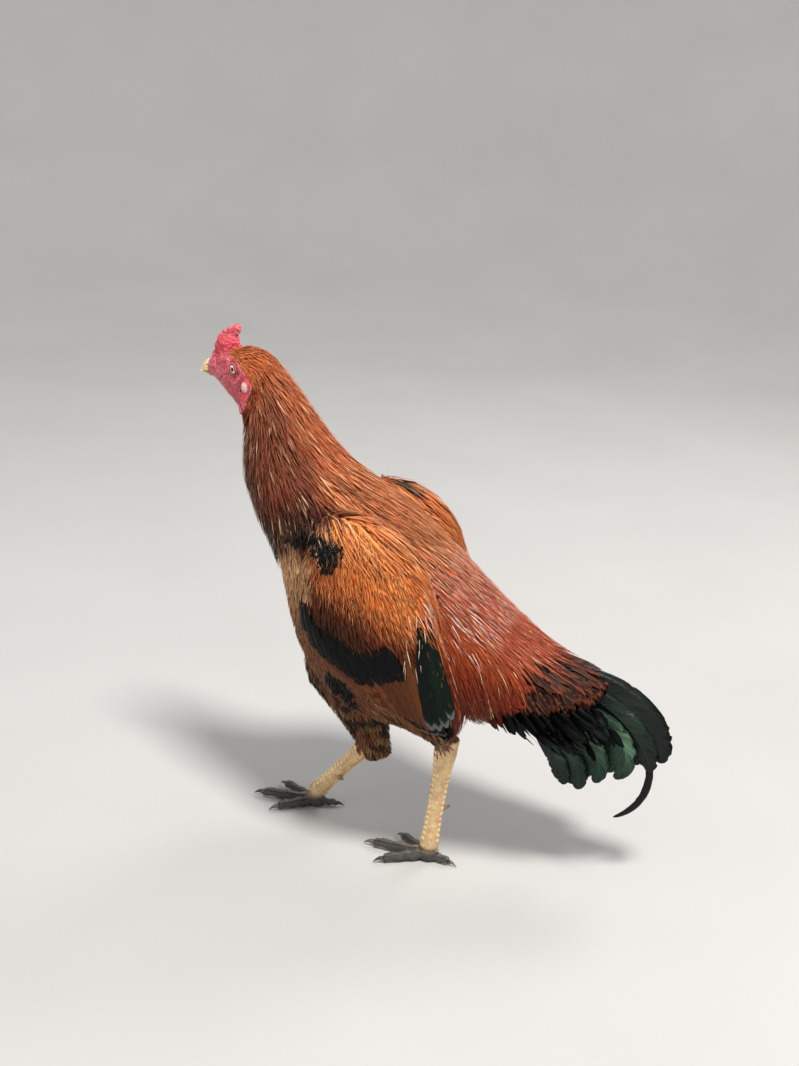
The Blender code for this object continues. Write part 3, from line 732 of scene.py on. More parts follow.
skin_places = coordinates(skin.data)
own = head_local(skin_places)
on_head = (own[:, 0] < -0.183) & (own[:, 2] > HEAD_BASE)
refine(skin.data, on_head)
skin_places = coordinates(skin.data)
skin_edges = edges_of(skin.data)
skin_places = np.where((head_local(skin_places)[:, 2] > HEAD_BASE)[:, None],
                       smoothed(skin_places, skin_edges, 3, 0.5, -0.52), skin_places)
skin_labels, _ = labels_at(skin_places)
skin_bare = bareness(skin_places, skin_labels)
set_coordinates(skin.data, skin_places)
skin_normals = unit(smoothed(normals_of(skin.data), skin_edges, 4))
own = head_local(skin_places)
is_comb = smoothed(np.where(skin_labels == FLESH.index("comb"), 1.0, 0.0), skin_edges, 3)
is_face = np.where(are(skin_labels, "head") & (skin_bare > 0.5), 1.0, 0.0)
is_face = smoothed(is_face, skin_edges, 3)
is_flap = are(skin_labels, *BARE[1:5])
relief = face_relief(own) * is_face + comb_relief(own) * is_comb
relief += np.where(is_flap, 0.20 * MM * unevenness(own, 0.0016, 23), 0.0)
crease = np.exp(-((across_wattle(own[:, 0], own[:, 2]) + 0.2018) / 0.0009) ** 2)
relief -= 1.1 * MM * crease * are(skin_labels, "wattle_left", "wattle_right")
skin_places = skin_places + skin_normals * relief[:, None]
on_face = (skin_labels == FLESH.index("head")) & (head_local(skin_places)[:, 2] > 0.47)
lidded = from_head_local(add_lids(head_local(skin_places), on_face))
skin_places = np.where(on_face[:, None], lidded, skin_places)
set_coordinates(skin.data, skin_places)
skin_colour = mix(plumage_at(skin_places, skin_labels) * 0.55,
                  bare_colour(skin_places, skin_labels), smoothed(skin_bare, skin_edges, 1))
# Painted shade in the hollows of the bare face and wattles, and a painted highlight on their rises.
hollow = ((smoothed(skin_places, skin_edges, 10, 0.5) - skin_places) * skin_normals).sum(1)
shaded_by_relief = np.maximum(is_face, is_flap) * (1 - are(skin_labels, "earlobe_left", "earlobe_right"))
skin_colour = mix(skin_colour, np.array(FACE_DEEP), 0.85 * shaded_by_relief * ease(hollow, 0.02 * MM, 0.26 * MM))
skin_colour = mix(skin_colour, np.array(FACE_PINK), 0.50 * shaded_by_relief * ease(-hollow, 0.03 * MM, 0.30 * MM))


# ---- materials ----------------------------------------------------------------------------------

class Nodes:
    """A tree of nodes, put together by name."""

    prefix = ""

    def node(self, kind, inputs=(), **settings):
        made = self.tree.nodes.new(self.prefix + kind)
        for setting, value in settings.items():
            setattr(made, setting, value)
        for socket, value in dict(inputs).items():
            self.feed(made.inputs[socket], value)
        return made

    def feed(self, socket, value):
        if isinstance(value, bpy.types.NodeSocket):
            self.tree.links.new(value, socket)
        else:
            socket.default_value = value


class Look(Nodes):
    """A material's nodes."""

    prefix = "ShaderNode"

    def __init__(self, name, **values):
        self.material = bpy.data.materials.new(name)
        self.material.use_nodes = True
        self.tree = self.material.node_tree
        self.shader = self.tree.nodes["Principled BSDF"]
        for socket, value in values.items():
            self.shader.inputs[socket.replace("_", " ")].default_value = value

    def maths(self, operation, *values):
        made = self.node("Math", operation=operation)
        for socket, value in zip(made.inputs, values):
            self.feed(socket, value)
        return made.outputs[0]

    def ramp(self, value, *stops):
        """Stops are (place, level) pairs, or (place, colour)."""
        made = self.node("ValToRGB", {"Fac": value})
        elements = made.color_ramp.elements
        for index, (place, level) in enumerate(stops):
            element = elements[index] if index < 2 else elements.new(place)
            element.position = place
            colour = (level,) * 3 if isinstance(level, (int, float)) else tuple(level)
            element.color = (*colour, 1)
        return made.outputs["Color"]

    def blend(self, kind, amount, first, second):
        made = self.node("Mix", data_type="RGBA", blend_type=kind)
        self.feed(made.inputs[0], amount)
        self.feed(made.inputs[6], first)
        self.feed(made.inputs[7], second)
        return made.outputs[2]

    def noise(self, vector, scale, detail):
        return self.node("TexNoise", {"Vector": vector, "Scale": scale, "Detail": detail,
                                      "Roughness": 0.55}).outputs["Fac"]

    def place(self):
        return self.node("TexCoord").outputs["Object"]

    def colour_from(self, *tones):
        """The painted colour, made lighter and darker by each of these tones."""
        colour = self.node("Attribute", attribute_name="Plumage").outputs["Color"]
        for tone in tones:
            colour = self.blend("MULTIPLY", 1.0, colour, tone)
        self.feed(self.shader.inputs["Base Color"], colour)

    def bump(self, height, strength, distance):
        made = self.node("Bump", {"Height": height, "Strength": strength, "Distance": distance})
        self.feed(self.shader.inputs["Normal"], made.outputs["Normal"])


def vane_look(name, streaks, darkest, lightest, relief, **values):
    """Feather: colour from the plumage, with fine barbs that run out from the shaft."""
    look = Look(name, **values)
    parts = look.node("SeparateXYZ", {0: look.node("UVMap", uv_map="Vane").outputs["UV"]})
    aside = look.maths("ABSOLUTE", parts.outputs["X"])
    slant = look.maths("SUBTRACT", parts.outputs["Y"], look.maths("MULTIPLY", aside, 1.6))
    where = look.node("CombineXYZ", {"X": look.maths("MULTIPLY", slant, streaks),
                                     "Y": look.maths("MULTIPLY", parts.outputs["X"], streaks * 0.12)})
    barbs = look.noise(where.outputs[0], 1.0, 2.0)
    strength = look.ramp(barbs, (0.30, darkest), (0.72, lightest))
    shaft = look.ramp(aside, (0.0, 1.25), (0.012, 1.0))
    look.colour_from(strength, shaft)
    look.bump(barbs, relief, 0.0006)
    return look.material


def face_look():
    look = Look("bare_skin", Roughness=0.42, Subsurface_Weight=0.12, Subsurface_Scale=0.004)
    look.shader.inputs["Subsurface Radius"].default_value = (1.0, 0.25, 0.15)
    where = look.place()
    pebbles = look.node("TexVoronoi", {"Vector": where, "Scale": 900.0}).outputs["Distance"]
    vessels = look.noise(where, 420.0, 4.0)
    tone = look.ramp(vessels, (0.30, 0.72), (0.70, 1.22))
    deep = look.ramp(pebbles, (0.10, 1.10), (0.75, 0.80))
    look.colour_from(tone, deep)
    look.bump(look.maths("SUBTRACT", vessels, pebbles), 0.80, 0.0008)
    return look.material


def down_look():
    look = Look("down", Roughness=0.85)
    where = look.place()
    fluff = look.noise(where, 500.0, 4.0)
    tone = look.ramp(fluff, (0.30, 0.60), (0.70, 1.15))
    look.colour_from(tone)
    look.bump(fluff, 0.5, 0.001)
    return look.material


def leg_look():
    look = Look("scaly_leg", Roughness=0.48)
    where = look.place()
    cells = look.node("TexVoronoi", {"Vector": where, "Scale": 620.0}, feature="DISTANCE_TO_EDGE")
    cells = cells.outputs["Distance"]
    seams = look.ramp(cells, (0.0, 0.45), (0.10, 1.0))
    dust = look.ramp(look.noise(where, 160.0, 5.0), (0.35, 0.82), (0.68, 1.12))
    look.colour_from(seams, dust)
    look.bump(look.ramp(cells, (0.0, 0.0), (0.14, 1.0)), 0.6, 0.0006)
    return look.material


PLUMAGE = vane_look("plumage", 20.0, 0.78, 1.18, 0.20, Roughness=0.58, Specular_IOR_Level=0.16)
HACKLE = vane_look("hackle", 12.0, 0.82, 1.18, 0.15, Roughness=0.42, Specular_IOR_Level=0.30)
STIFF = vane_look("stiff_vane", 14.0, 0.60, 1.40, 0.40, Roughness=0.46, Specular_IOR_Level=0.07)
BARE_SKIN = face_look()
DOWN = down_look()
LEG = leg_look()


# ---- light, floor and camera ----------------------------------------------------------------------

def area_light(name, place, aim, size, power, colour):
    data = bpy.data.lights.new(name, "AREA")
    data.shape = "DISK"
    data.size = size
    data.energy = power
    data.color = colour
    made = new_object(name, data)
    made.location = place
    made.rotation_euler = (Vector(aim) - Vector(place)).to_track_quat("-Z", "Y").to_euler()


FLOOR_SIDES = 96
FLOOR_PROFILE = ((0.0, 0.0), (2.6, 0.0), (3.4, 0.10), (4.0, 0.45), (4.4, 1.1), (4.6, 2.2), (4.7, 3.4))


def plain_floor():
    """A pale floor that turns up softly into a round wall, alike from every side."""
    ring = range(FLOOR_SIDES)
    around = [2 * math.pi * k / FLOOR_SIDES for k in ring]
    places = [(0.0, 0.0, 0.0)]
    for radius, height in FLOOR_PROFILE[1:]:
        places += [(radius * math.cos(a), radius * math.sin(a), height) for a in around]
    faces = [(0, 1 + k, 1 + (k + 1) % FLOOR_SIDES) for k in ring]
    for row in range(len(FLOOR_PROFILE) - 2):
        low, high = 1 + FLOOR_SIDES * row, 1 + FLOOR_SIDES * (row + 1)
        for k in ring:
            after = (k + 1) % FLOOR_SIDES
            faces.append((low + k, high + k, high + after, low + after))
    mesh = bpy.data.meshes.new("floor")
    mesh.from_pydata(places, [], faces)
    mesh.polygons.foreach_set("use_smooth", [True] * len(faces))
    made = new_object("floor", mesh)
    look = Look("pale_floor", Roughness=0.75)
    soft = look.noise(look.place(), 3.0, 2.0)
    tone = look.ramp(soft, (0.3, (0.500, 0.496, 0.488)), (0.7, (0.525, 0.521, 0.512)))
    look.feed(look.shader.inputs["Base Color"], tone)
    mesh.materials.append(look.material)


def studio():
    aim = (0.0, 0.0, 0.28)
    area_light("key", (0.95, -1.25, 3.9), aim, 0.85, 190, (1.0, 0.97, 0.92))
    area_light("fill", (-1.9, -1.5, 1.1), aim, 1.6, 8, (0.92, 0.96, 1.0))
    area_light("rim", (0.9, 1.5, 1.9), aim, 0.9, 18, (1.0, 0.97, 0.94))
    world = bpy.data.worlds.new("pale_room")
    world.use_nodes = True
    world.node_tree.nodes["Background"].inputs["Color"].default_value = (0.93, 0.95, 1.0, 1)
    world.node_tree.nodes["Background"].inputs["Strength"].default_value = 0.50
    bpy.context.scene.world = world
    bpy.context.scene.view_settings.view_transform = "Standard"


CAMERA_PLACE = np.array([0.2970, -1.3389, 0.8328])
CAMERA_AZIMUTH, CAMERA_PITCH, CAMERA_ROLL = (math.radians(a) for a in (14.0, 19.0, 3.0))
CAMERA_LENS, CAMERA_SENSOR = 47.28, 36.0


def camera():
    a, p, r = CAMERA_AZIMUTH, CAMERA_PITCH, CAMERA_ROLL
    back = Vector((math.sin(a) * math.cos(p), -math.cos(a) * math.cos(p), math.sin(p)))
    level = Vector((math.cos(a), math.sin(a), 0.0))
    right = math.cos(r) * level + math.sin(r) * back.cross(level)
    data = bpy.data.cameras.new("camera")
    data.lens = CAMERA_LENS
    data.sensor_width = CAMERA_SENSOR
    made = new_object("camera", data)
    turn = Matrix((right, back.cross(right), back)).transposed().to_4x4()
    made.matrix_world = Matrix.Translation(Vector(CAMERA_PLACE + SHIFT)) @ turn
    bpy.context.scene.camera = made


camera()
plain_floor()
studio()


# ---- closed shapes from rows of rings ---------------------------------------------------------------

def ring_faces(count, rows, ring):
    """Corner lists of count closed strips, each of that many rings."""
    r, k = np.meshgrid(np.arange(rows - 1), np.arange(ring), indexing="ij")
    a = r * ring + k
    b = r * ring + (k + 1) % ring
    sides = np.stack((a, b, b + ring, a + ring), -1).reshape(-1, 4)
    base = np.arange(count)[:, None, None] * rows * ring
    return (sides[None] + base).reshape(-1, 4)


def rings_mesh(name, places, colours, look, maps=None, sharp_rims=False):
    """A mesh of many closed shapes. Places are (shapes, rows, ring, 3), and so are colours."""
    count, rows, ring, _ = places.shape
    quads = ring_faces(count, rows, ring)
    base = np.arange(count)[:, None] * rows * ring
    start = (base + np.arange(ring)[None, ::-1]).reshape(-1)
    end = (base + (rows - 1) * ring + np.arange(ring)[None]).reshape(-1)
    corners = np.concatenate((quads.ravel(), start, end))
    sizes = np.concatenate((np.full(len(quads), 4), np.full(2 * count, ring)))
    flat = places.reshape(-1, 3)
    if volume_sign(places[:200]) < 0:
        corners = np.concatenate([corners[: len(quads) * 4].reshape(-1, 4)[:, ::-1].ravel(),
                                  corners[len(quads) * 4:].reshape(-1, ring)[:, ::-1].ravel()])
    mesh = bpy.data.meshes.new(name)
    mesh.vertices.add(len(flat))
    mesh.vertices.foreach_set("co", flat.astype(np.float32).ravel())
    mesh.loops.add(len(corners))
    mesh.loops.foreach_set("vertex_index", corners.astype(np.int32))
    mesh.polygons.add(len(sizes))
    mesh.polygons.foreach_set("loop_start", np.concatenate(([0], np.cumsum(sizes)[:-1])).astype(np.int32))
    mesh.update(calc_edges=True)
    mesh.polygons.foreach_set("use_smooth", np.ones(len(sizes), bool))
    colour_vertices(mesh, colours.reshape(-1, 3))
    for layer_name, uv in (maps or {}).items():
        layer = mesh.uv_layers.new(name=layer_name)
        layer.uv.foreach_set("vector", uv.reshape(-1, 2)[corners].astype(np.float32).ravel())
    if sharp_rims:
        edges = edges_of(mesh)
        place_in_ring = edges % ring
        rim = (place_in_ring[:, 0] == place_in_ring[:, 1]) & np.isin(place_in_ring[:, 0], (0, ring // 2))
        mesh.attributes.new("sharp_edge", "BOOLEAN", "EDGE").data.foreach_set("value", rim)
    mesh.materials.append(look)
    return new_object(name, mesh)


def volume_sign(places):
    """Above 0 where the rings' faces look outward."""
    quads = ring_faces(*places.shape[:3])
    flat = places.reshape(-1, 3)
    a, b, c, d = (flat[quads[:, i]] for i in range(4))
    middle = flat.mean(0)
    return np.einsum("ij,ij->i", np.cross(b - a, c - a), a - middle).sum() + np.einsum(
        "ij,ij->i", np.cross(c - a, d - a), a - middle).sum()


# ---- how feathers grow ------------------------------------------------------------------------------

def slope_ways(degrees):
    """Directions in side view, that many degrees below the level, towards the tail."""
    angle = np.radians(degrees)
    return np.stack([np.cos(angle), np.zeros_like(angle), -np.sin(angle)], -1)


def lie_of_body(points):
    """The coat's lie on the head, neck, back and belly."""
    row, down = body_place(points)
    ahead, behind = np.clip(row - 0.25, 0, LAST_ROW), np.clip(row + 0.25, 0, LAST_ROW)
    lines = through(LINES, behind) - through(LINES, ahead)
    top, bottom = unit(lines[:, :2]), unit(lines[:, 2:])
    flat = mix(top, bottom, down[:, None])
    ways = np.stack([flat[:, 0], np.zeros(len(flat)), flat[:, 1]], -1)
    return unit(turned(ways, turn_share(row), about=0.0))


def lie_of_saddle(points):
    _, down = body_place(points)
    steep = mix(40.0, 68.0, ease(down, 0.03, 0.34))
    return slope_ways(steep + 8.0 * ease(down, 0.34, 0.60))


def lie_of_coverts(points):
    _, down = body_place(points)
    return slope_ways(mix(34.0, 46.0, ease(down, 0.0, 0.6)))


def lie_of_undertail(points):
    own = points - SHIFT
    return slope_ways(mix(44.0, 30.0, ease(own[:, 0], 0.070, 0.150)))


def lie_of_front(points):
    """The front hackle hangs straighter than the breast beneath it."""
    return unit(lie_of_body(points) + np.array((0.05, 0.0, -0.35)))


def lie_of_cape(points):
    row, down = body_place(points)
    back = slope_ways(mix(33.0, 50.0, ease(down, 0.02, 0.30)))
    return unit(mix(lie_of_body(points), back, ease(row, 8.6, 10.0)[:, None]))


def lie_of_wing(points):
    own = points - SHIFT
    return slope_ways(mix(80.0, 60.0, ease(own[:, 0], -0.115, 0.0)))


# Joints of each leg, and how far its middle toe turns from straight ahead, in degrees.
LEGS = {
    "left": dict(knee=(-0.020, -0.046, 0.215), hock=(0.0375, -0.042, 0.150),
                 ankle=(0.0230, -0.0350, 0.017), heading=4.0),
    "right": dict(knee=(-0.104, 0.042, 0.192), hock=(-0.064, 0.038, 0.094),
                  ankle=(-0.1290, 0.0340, 0.017), heading=-2.0),
}


def lie_of_thigh(points):
    own = points - SHIFT
    ways = {side: unit(np.array(leg["hock"]) - np.array(leg["knee"])) for side, leg in LEGS.items()}
    return np.where(own[:, 1:2] < 0, ways["left"], ways["right"])


def scattered(chosen, spacing, seed):
    """Faces of the outer form about that far apart, in random order."""
    faces = np.nonzero(chosen)[0]
    order = np.random.default_rng(seed).permutation(faces)
    places = FACE_CENTRES[order]
    space = spacing if isinstance(spacing, np.ndarray) else np.full(len(FACE_CENTRES), spacing)
    tree = KDTree(len(order))
    for index, place in enumerate(places):
        tree.insert(place, index)
    tree.balance()
    free = np.ones(len(order), bool)
    kept = []
    for index, place in enumerate(places.tolist()):
        if free[index]:
            kept.append(index)
            for _, other, _ in tree.find_range(place, space[order[index]]):
                free[other] = False
    return order[kept]


def trace(starts, lengths, rows, lie, cling=1.0, sag=0.0, bend=None):
    """Middle lines that leave their roots along the lie. Cling keeps a line on the form."""
    places, normals, depths = [], [], []
    points = starts.copy()
    point, normal, deep, _ = read_outer(points)
    places.append(point)
    normals.append(normal)
    depths.append(deep)
    points = point
    for row in range(1, rows):
        way = lie(points)
        if bend is not None:
            across = np.cross(normal, way)
            way = way + across * (bend * row / rows)[:, None]
        way = way + np.array((0, 0, -sag * row / rows))
        outward = (way * normal).sum(1, keepdims=True)
        way = unit(way - normal * np.where(outward < 0, outward, outward * cling))
        points = points + way * (lengths / (rows - 1))[:, None]
        near, normal, deep, _ = read_outer(points)
        rise = ((points - near) * normal).sum(1, keepdims=True)
        points = near + normal * np.where(rise < 0, 0.0, rise * (1 - cling))
        places.append(points)
        normals.append(normal)
        depths.append(deep)
    return np.stack(places, 1), np.stack(normals, 1), np.stack(depths, 1)


# Outlines: the share of the full half width at each share of the length.
def pointed(s):
    return np.clip(s / 0.10 + 0.35, 0, 1) * np.clip(1.02 - s ** 2.2, 0.03, 1) ** 0.9


def rounded(s):
    end = np.clip((s - 0.62) / 0.385, 0, 1)
    return np.clip(s / 0.28 + 0.30, 0, 1) * np.sqrt(np.clip(1.0 - end ** 2, 0.01, 1))


def leafy(s):
    end = np.clip((s - 0.35) / 0.66, 0, 1)
    return np.clip(s / 0.15 + 0.35, 0, 1) * np.sqrt(np.clip(1.0 - end ** 2, 0.004, 1))


def soft_ended(s):
    end = np.clip((s - 0.45) / 0.56, 0, 1)
    return np.clip(s / 0.20 + 0.35, 0, 1) * np.clip(1.0 - end ** 1.6, 0.05, 1)


def hairy(s):
    return np.clip(1.05 - s, 0.08, 1) ** 0.5


FEW_SPANS = ((-1, 0), (0, 0.8), (1, 0), (0, -0.5))
MANY_SPANS = ((-1, 0), (-0.35, 0.55), (0.0, 0.9), (0.35, 0.55), (1, 0), (0, -0.4))
PLAIN_TRACT = dict(spans=FEW_SPANS, uneven=(0.82, 1.15), bend=0.12, cling=1.0, sag=0.0, lift=0.0,
                   ruffle=0.8 * MM, twist=0.16, thick=0.40 * MM, camber=0.16, varies=0.20, root=0.45,
                   striped=0.0, fringe=None, fringed=0.5, glint=0.0, colour=None)


def of_each(value, faces):
    """A size for each face, from one number or from a rule."""
    return value(faces) if callable(value) else np.full(len(faces), value)


def grow(tract):
    """Feathers of one tract: their rings, colours and maps."""
    tract = {**PLAIN_TRACT, **tract}
    rng = np.random.default_rng(tract["seed"])
    faces = scattered(tract["chosen"], tract["spacing"], tract["seed"])
    count, rows = len(faces), tract["rows"]
    starts = FACE_CENTRES[faces] + rng.normal(0, 0.25, (count, 3)) * MM
    lengths = of_each(tract["length"], faces) * rng.uniform(*tract["uneven"], count)
    bend = rng.normal(0, tract["bend"], count)
    lines, normals, depths = trace(starts, lengths, rows, tract["lie"], tract["cling"], tract["sag"], bend)
    s = np.linspace(0, 1, rows)
    lift = tract["lift"] + rng.uniform(0, tract["ruffle"], count)
    sunk = np.maximum(depths, 0.35 * MM) * (1 - s[None] ** 0.75) - 0.15 * MM
    lines = lines - normals * sunk[..., None] + normals * (lift[:, None] * s[None] ** 1.3)[..., None]
    ways = unit(np.gradient(lines, axis=1))
    across = unit(np.cross(normals, ways))
    twist = rng.normal(0, tract["twist"], count)[:, None, None] * s[None, :, None]
    across = unit(across + np.cross(ways, across) * twist)
    up = np.cross(ways, across)
    half = of_each(tract["half"], faces) * rng.uniform(0.85, 1.15, count)
    widths = half[:, None] * tract["outline"](s)[None]
    thick = tract["thick"] * (1.05 - 0.75 * s)[None, :]
    ring = []
    for aside, rise in tract["spans"]:
        high = thick * rise - tract["camber"] * widths * aside ** 2
        ring.append(lines + across * (widths * aside)[..., None] + up * high[..., None])
    places = np.stack(ring, 2)
    colours = tract_colours(tract, faces, lines, s, rng)
    asides = np.array([aside for aside, _ in tract["spans"]])
    vane = np.empty(places.shape[:3] + (2,))
    vane[..., 0] = (widths[..., None] * asides) / 0.010
    vane[..., 1] = (lengths[:, None, None] * s[None, :, None]) / 0.010
    vane[..., 1] += rng.uniform(0, 90, count)[:, None, None]
    return places, colours, vane, bake_map(starts, asides, s)


BAKE_PATCH = 0.003


def bake_map(starts, asides, s):
    """Small patches at the root's place on an unrolling of the body: length by girth."""
    own = starts - SHIFT
    row, down = body_place(starts)
    side = np.where(own[:, 1] < 0, -1.0, 1.0)
    u = 0.02 + 0.96 * row / LAST_ROW
    v = 0.5 + 0.48 * side * (0.02 + 0.98 * down)
    patch = np.empty((len(starts), len(s), len(asides), 2))
    patch[..., 0] = u[:, None, None] + BAKE_PATCH * (s[None, :, None] - 0.5)
    patch[..., 1] = v[:, None, None] + BAKE_PATCH * 0.5 * asides[None, None, :]
    return np.clip(patch, 0.001, 0.999)


def tract_colours(tract, faces, lines, s, rng):
    """Each feather takes the markings' colour where it shows, with its own small differences."""
    spans = tract["spans"]
    count, rows = lines.shape[:2]
    shown = lines[:, int(rows * 0.72)]
    _, _, _, seen = read_outer(shown)
    labels = FACE_LABELS[seen]
    base = tract["colour"](shown, labels, faces) if tract["colour"] else plumage_at(shown, labels)
    shade = np.exp(rng.normal(0, tract["varies"], count))
    warmer = rng.normal(0, 0.10, count)
    base = base * shade[:, None] * np.stack([1 + 0 * warmer, 1 + warmer, 1 + 1.2 * warmer], 1)
    colours = np.repeat(base[:, None, None], rows, 1) * np.ones((1, 1, len(spans), 1))
    along = mix(tract["root"], 1.0, ease(s, 0.05, 0.55))
    colours = colours * along[None, :, None, None]
    edge = np.array([1.0 if abs(aside) > 0.9 else 0.0 for aside, _ in spans])
    if tract["striped"]:
        dark = (rng.random(count) < tract["striped"])[:, None, None]
        middle = ease(s, 0.25, 0.5) * (1 - ease(s, 0.80, 0.97))
        heart = (1 - edge)[None, None, :] * middle[None, :, None]
        colours = mix(colours, BLACK, dark * heart * 0.9)
    if tract["fringe"] is not None:
        rim = np.maximum(edge[None, :], ease(s, 0.80, 1.0)[:, None] * 0.9)
        amount = tract["fringed"] * rng.uniform(0.3, 1.0, count)[:, None, None] * rim[None]
        colours = mix(colours, tract["fringe"], amount)
    if tract["glint"]:
        bright = (rng.random(count) < tract["glint"]) * rng.uniform(0.4, 1.0, count)
        shining = bright[:, None, None] * ease(s, 0.2, 0.5)[None, :, None] * np.ones((1, 1, len(spans)))
        colours = mix(colours, STRAW, shining)
    return colours


def coat_piece(name, tracts, look, sharp=False):
    """The tracts' feathers as one mesh for each side."""
    grown = [grow(tract) for tract in tracts]
    for side, sign in SIDES.items():
        parts = []
        for arrays in grown:
            chosen = np.sign(arrays[0][:, 0, 0, 1] - SHIFT[1] + 1e-9) == sign
            parts.append([array[chosen] for array in arrays])
        places, colours, vane, bake = (np.concatenate(arrays) for arrays in zip(*parts))
        maps = {"Vane": vane, "OFBake": bake}
        piece = rings_mesh(f"{name}_{side}", places, colours, look, maps, sharp)
        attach(piece, "root")


# ---- the tracts of small feathers -----------------------------------------------------------------

FACE_X, FACE_Y, FACE_Z = (FACE_CENTRES - SHIFT).T


def on(*nodes):
    return are(FACE_LABELS, *nodes)


def saddle_hem(x):
    """The height at which the saddle's hackles end."""
    return np.interp(x, (-0.010, 0.005, 0.018, 0.028, 0.046, 0.063, 0.098, 0.120, 0.152, 0.190, 0.215),
                     (0.318, 0.291, 0.267, 0.247, 0.200, 0.183, 0.162, 0.166, 0.188, 0.196, 0.205))


FEATHERED = FACE_BARE < 0.30
WINGS = on("wing_left", "wing_right")
THIGHS = on("thigh_left", "thigh_right")
HEAD, NECK = on("head"), on("neck")
BODY = on("trunk", "saddle")
ABOVE_HEM = FACE_Z > hem_height(FACE_X)
ABOVE_SADDLE_HEM = FACE_Z > saddle_hem(FACE_X) + 0.010
BEFORE_COVERTS = FACE_X < saddle_end(FACE_Z) - 0.022
BOW = WINGS & (FACE_Z > bar_upper(FACE_X) + 0.007) & (FACE_Z < hem_height(FACE_X) + 0.012) & (FACE_X < 0.012)
BREAST_STRIP = WINGS & (FACE_Z < bar_lower(FACE_X)) & (FACE_Z < 0.224 - (FACE_X + 0.063) * 0.536)
BREAST_BODY = BODY & (FACE_DOWNS > 0.42) & (FACE_X < 0.080)
BREAST_NECK = NECK & (FACE_ROWS > 9.0) & (FACE_DOWNS > 0.5)
LOW_NAPE = (BODY | NECK) & (FACE_ROWS > 9.4) & (FACE_ROWS < 12.2) & (FACE_DOWNS < 0.46)
SADDLE_FIELD = ((BODY | WINGS) & (FACE_ROWS > 11.5) & (FACE_DOWNS < 0.62) & ABOVE_SADDLE_HEM
                & ~(WINGS & (FACE_X < -0.004)) & BEFORE_COVERTS)
WING_REAR = ((BODY | WINGS) & (FACE_X > -0.006) & (FACE_X < 0.014) & (FACE_Z > 0.258)
             & (FACE_Z < 0.318) & (np.abs(FACE_Y) > 0.03))
MARKED_AND_SHADED = shoulder_black(FACE_CENTRES - SHIFT + (0.0, 0.0, -0.004)) > 0.5
FACE_OWN = head_local(FACE_CENTRES)
BY_FACE = ((HEAD | NECK) & (FACE_BARE < 0.65) & (FACE_OWN[:, 2] > HEAD_BASE)
           & (FACE_OWN[:, 0] - face_border(FACE_OWN[:, 2]) < 0.009))

COVERT_BLACK = (0.018, 0.013, 0.011)
COVERT_EDGE = (0.260, 0.066, 0.030)
GLINT_PINK = (0.95, 0.66, 0.56)
# Pale buff of the wisps over the tertials, a painted highlight.
GLINT_WISP_BUFF = (0.88, 0.62, 0.48)
PALE_RED = (0.62, 0.20, 0.09)
PALE_GOLD = (0.90, 0.44, 0.19)


# Rules for sizes: each takes the faces that the feathers are rooted on.
def graded(first, last, values, low, high):
    """From first to last, in millimetres, while a face's value goes from low to high."""
    return lambda faces: mix(first, last, ease(values[faces], low, high)) * MM


def saddle_length(faces):
    drop = (FACE_Z[faces] - saddle_hem(FACE_X[faces] + 0.024)) / 0.90
    spare = mix(0.008, -0.008, ease(FACE_DOWNS[faces], 0.22, 0.40))
    ahead = saddle_end(FACE_Z[faces] - 0.03) - spare - FACE_X[faces]
    room = ahead / mix(0.72, 0.50, ease(FACE_DOWNS[faces], 0.0, 0.3))
    drop = drop + mix(0.008, 0.017, ease(FACE_X[faces], 0.025, 0.060))
    return np.clip(np.minimum(drop, room), 0.022, 0.104)


def covert_length(faces):
    length = mix(64.0, 46.0, ease(FACE_DOWNS[faces], 0.0, 0.6)) * MM
    return length * mix(1.0, 0.70, ease(FACE_X[faces], 0.120, 0.158))


# Rules for colours: each takes the places that show, their labels, and the faces of the roots.
def one_colour(colour):
    return lambda points, labels, faces: np.tile(colour, (len(faces), 1))


# Mixes the plumage towards a pale colour: a painted highlight on the loose barbs.
def paler(share, pale=STRAW):
    return lambda points, labels, faces: mix(plumage_at(points, labels), np.array(pale), share)


def saddle_strand_colour(points, labels, faces):
    """The strands stay red to their ends, over the dark coverts too."""
    row, down = body_place(points)
    return back_colour(row, down, points - SHIFT, coverts=False)


def front_hem_colour(points, labels, faces):
    """The front hackle keeps its roots' colour and darkens towards the hem as painted shade."""
    found = neck_colour(FACE_ROWS[faces], FACE_DOWNS[faces])
    return mix(found, np.array(HACKLE_SHADE), 0.94 * ease(FACE_ROWS[faces], 8.0, 8.9))


def lie_of_wisps(points):
    return slope_ways(np.full(len(points), 82.0))


CROWN = dict(
    seed=1, chosen=HEAD & FEATHERED & (FACE_ROWS < 6.0), spacing=1.6 * MM, rows=6,
    length=graded(6.0, 14.0, FACE_ROWS, 3.0, 6.0), half=graded(0.75, 1.15, FACE_ROWS, 3.0, 6.0),
    lie=lie_of_body, outline=pointed, thick=0.20 * MM, ruffle=0.35 * MM, varies=0.13, root=0.80, bend=0.16)
FACE_EDGE = dict(
    seed=33, chosen=BY_FACE, spacing=1.35 * MM, rows=6, length=8.5 * MM, half=0.80 * MM,
    lie=lie_of_body, outline=pointed, thick=0.16 * MM, ruffle=0.35 * MM, varies=0.16, root=0.80, bend=0.20)
UPPER_HACKLE = dict(
    seed=2, chosen=(HEAD | NECK) & FEATHERED & (FACE_ROWS > 5.2) & (FACE_ROWS < 8.4), spacing=2.5 * MM,
    rows=9, length=graded(17.0, 50.0, FACE_ROWS, 5.0, 8.0), half=graded(1.05, 1.45, FACE_ROWS, 5.0, 8.0),
    lie=lie_of_body, outline=pointed, thick=0.24 * MM, ruffle=0.6 * MM, varies=0.17, root=0.72,
    bend=0.10, glint=0.05, cling=0.92)
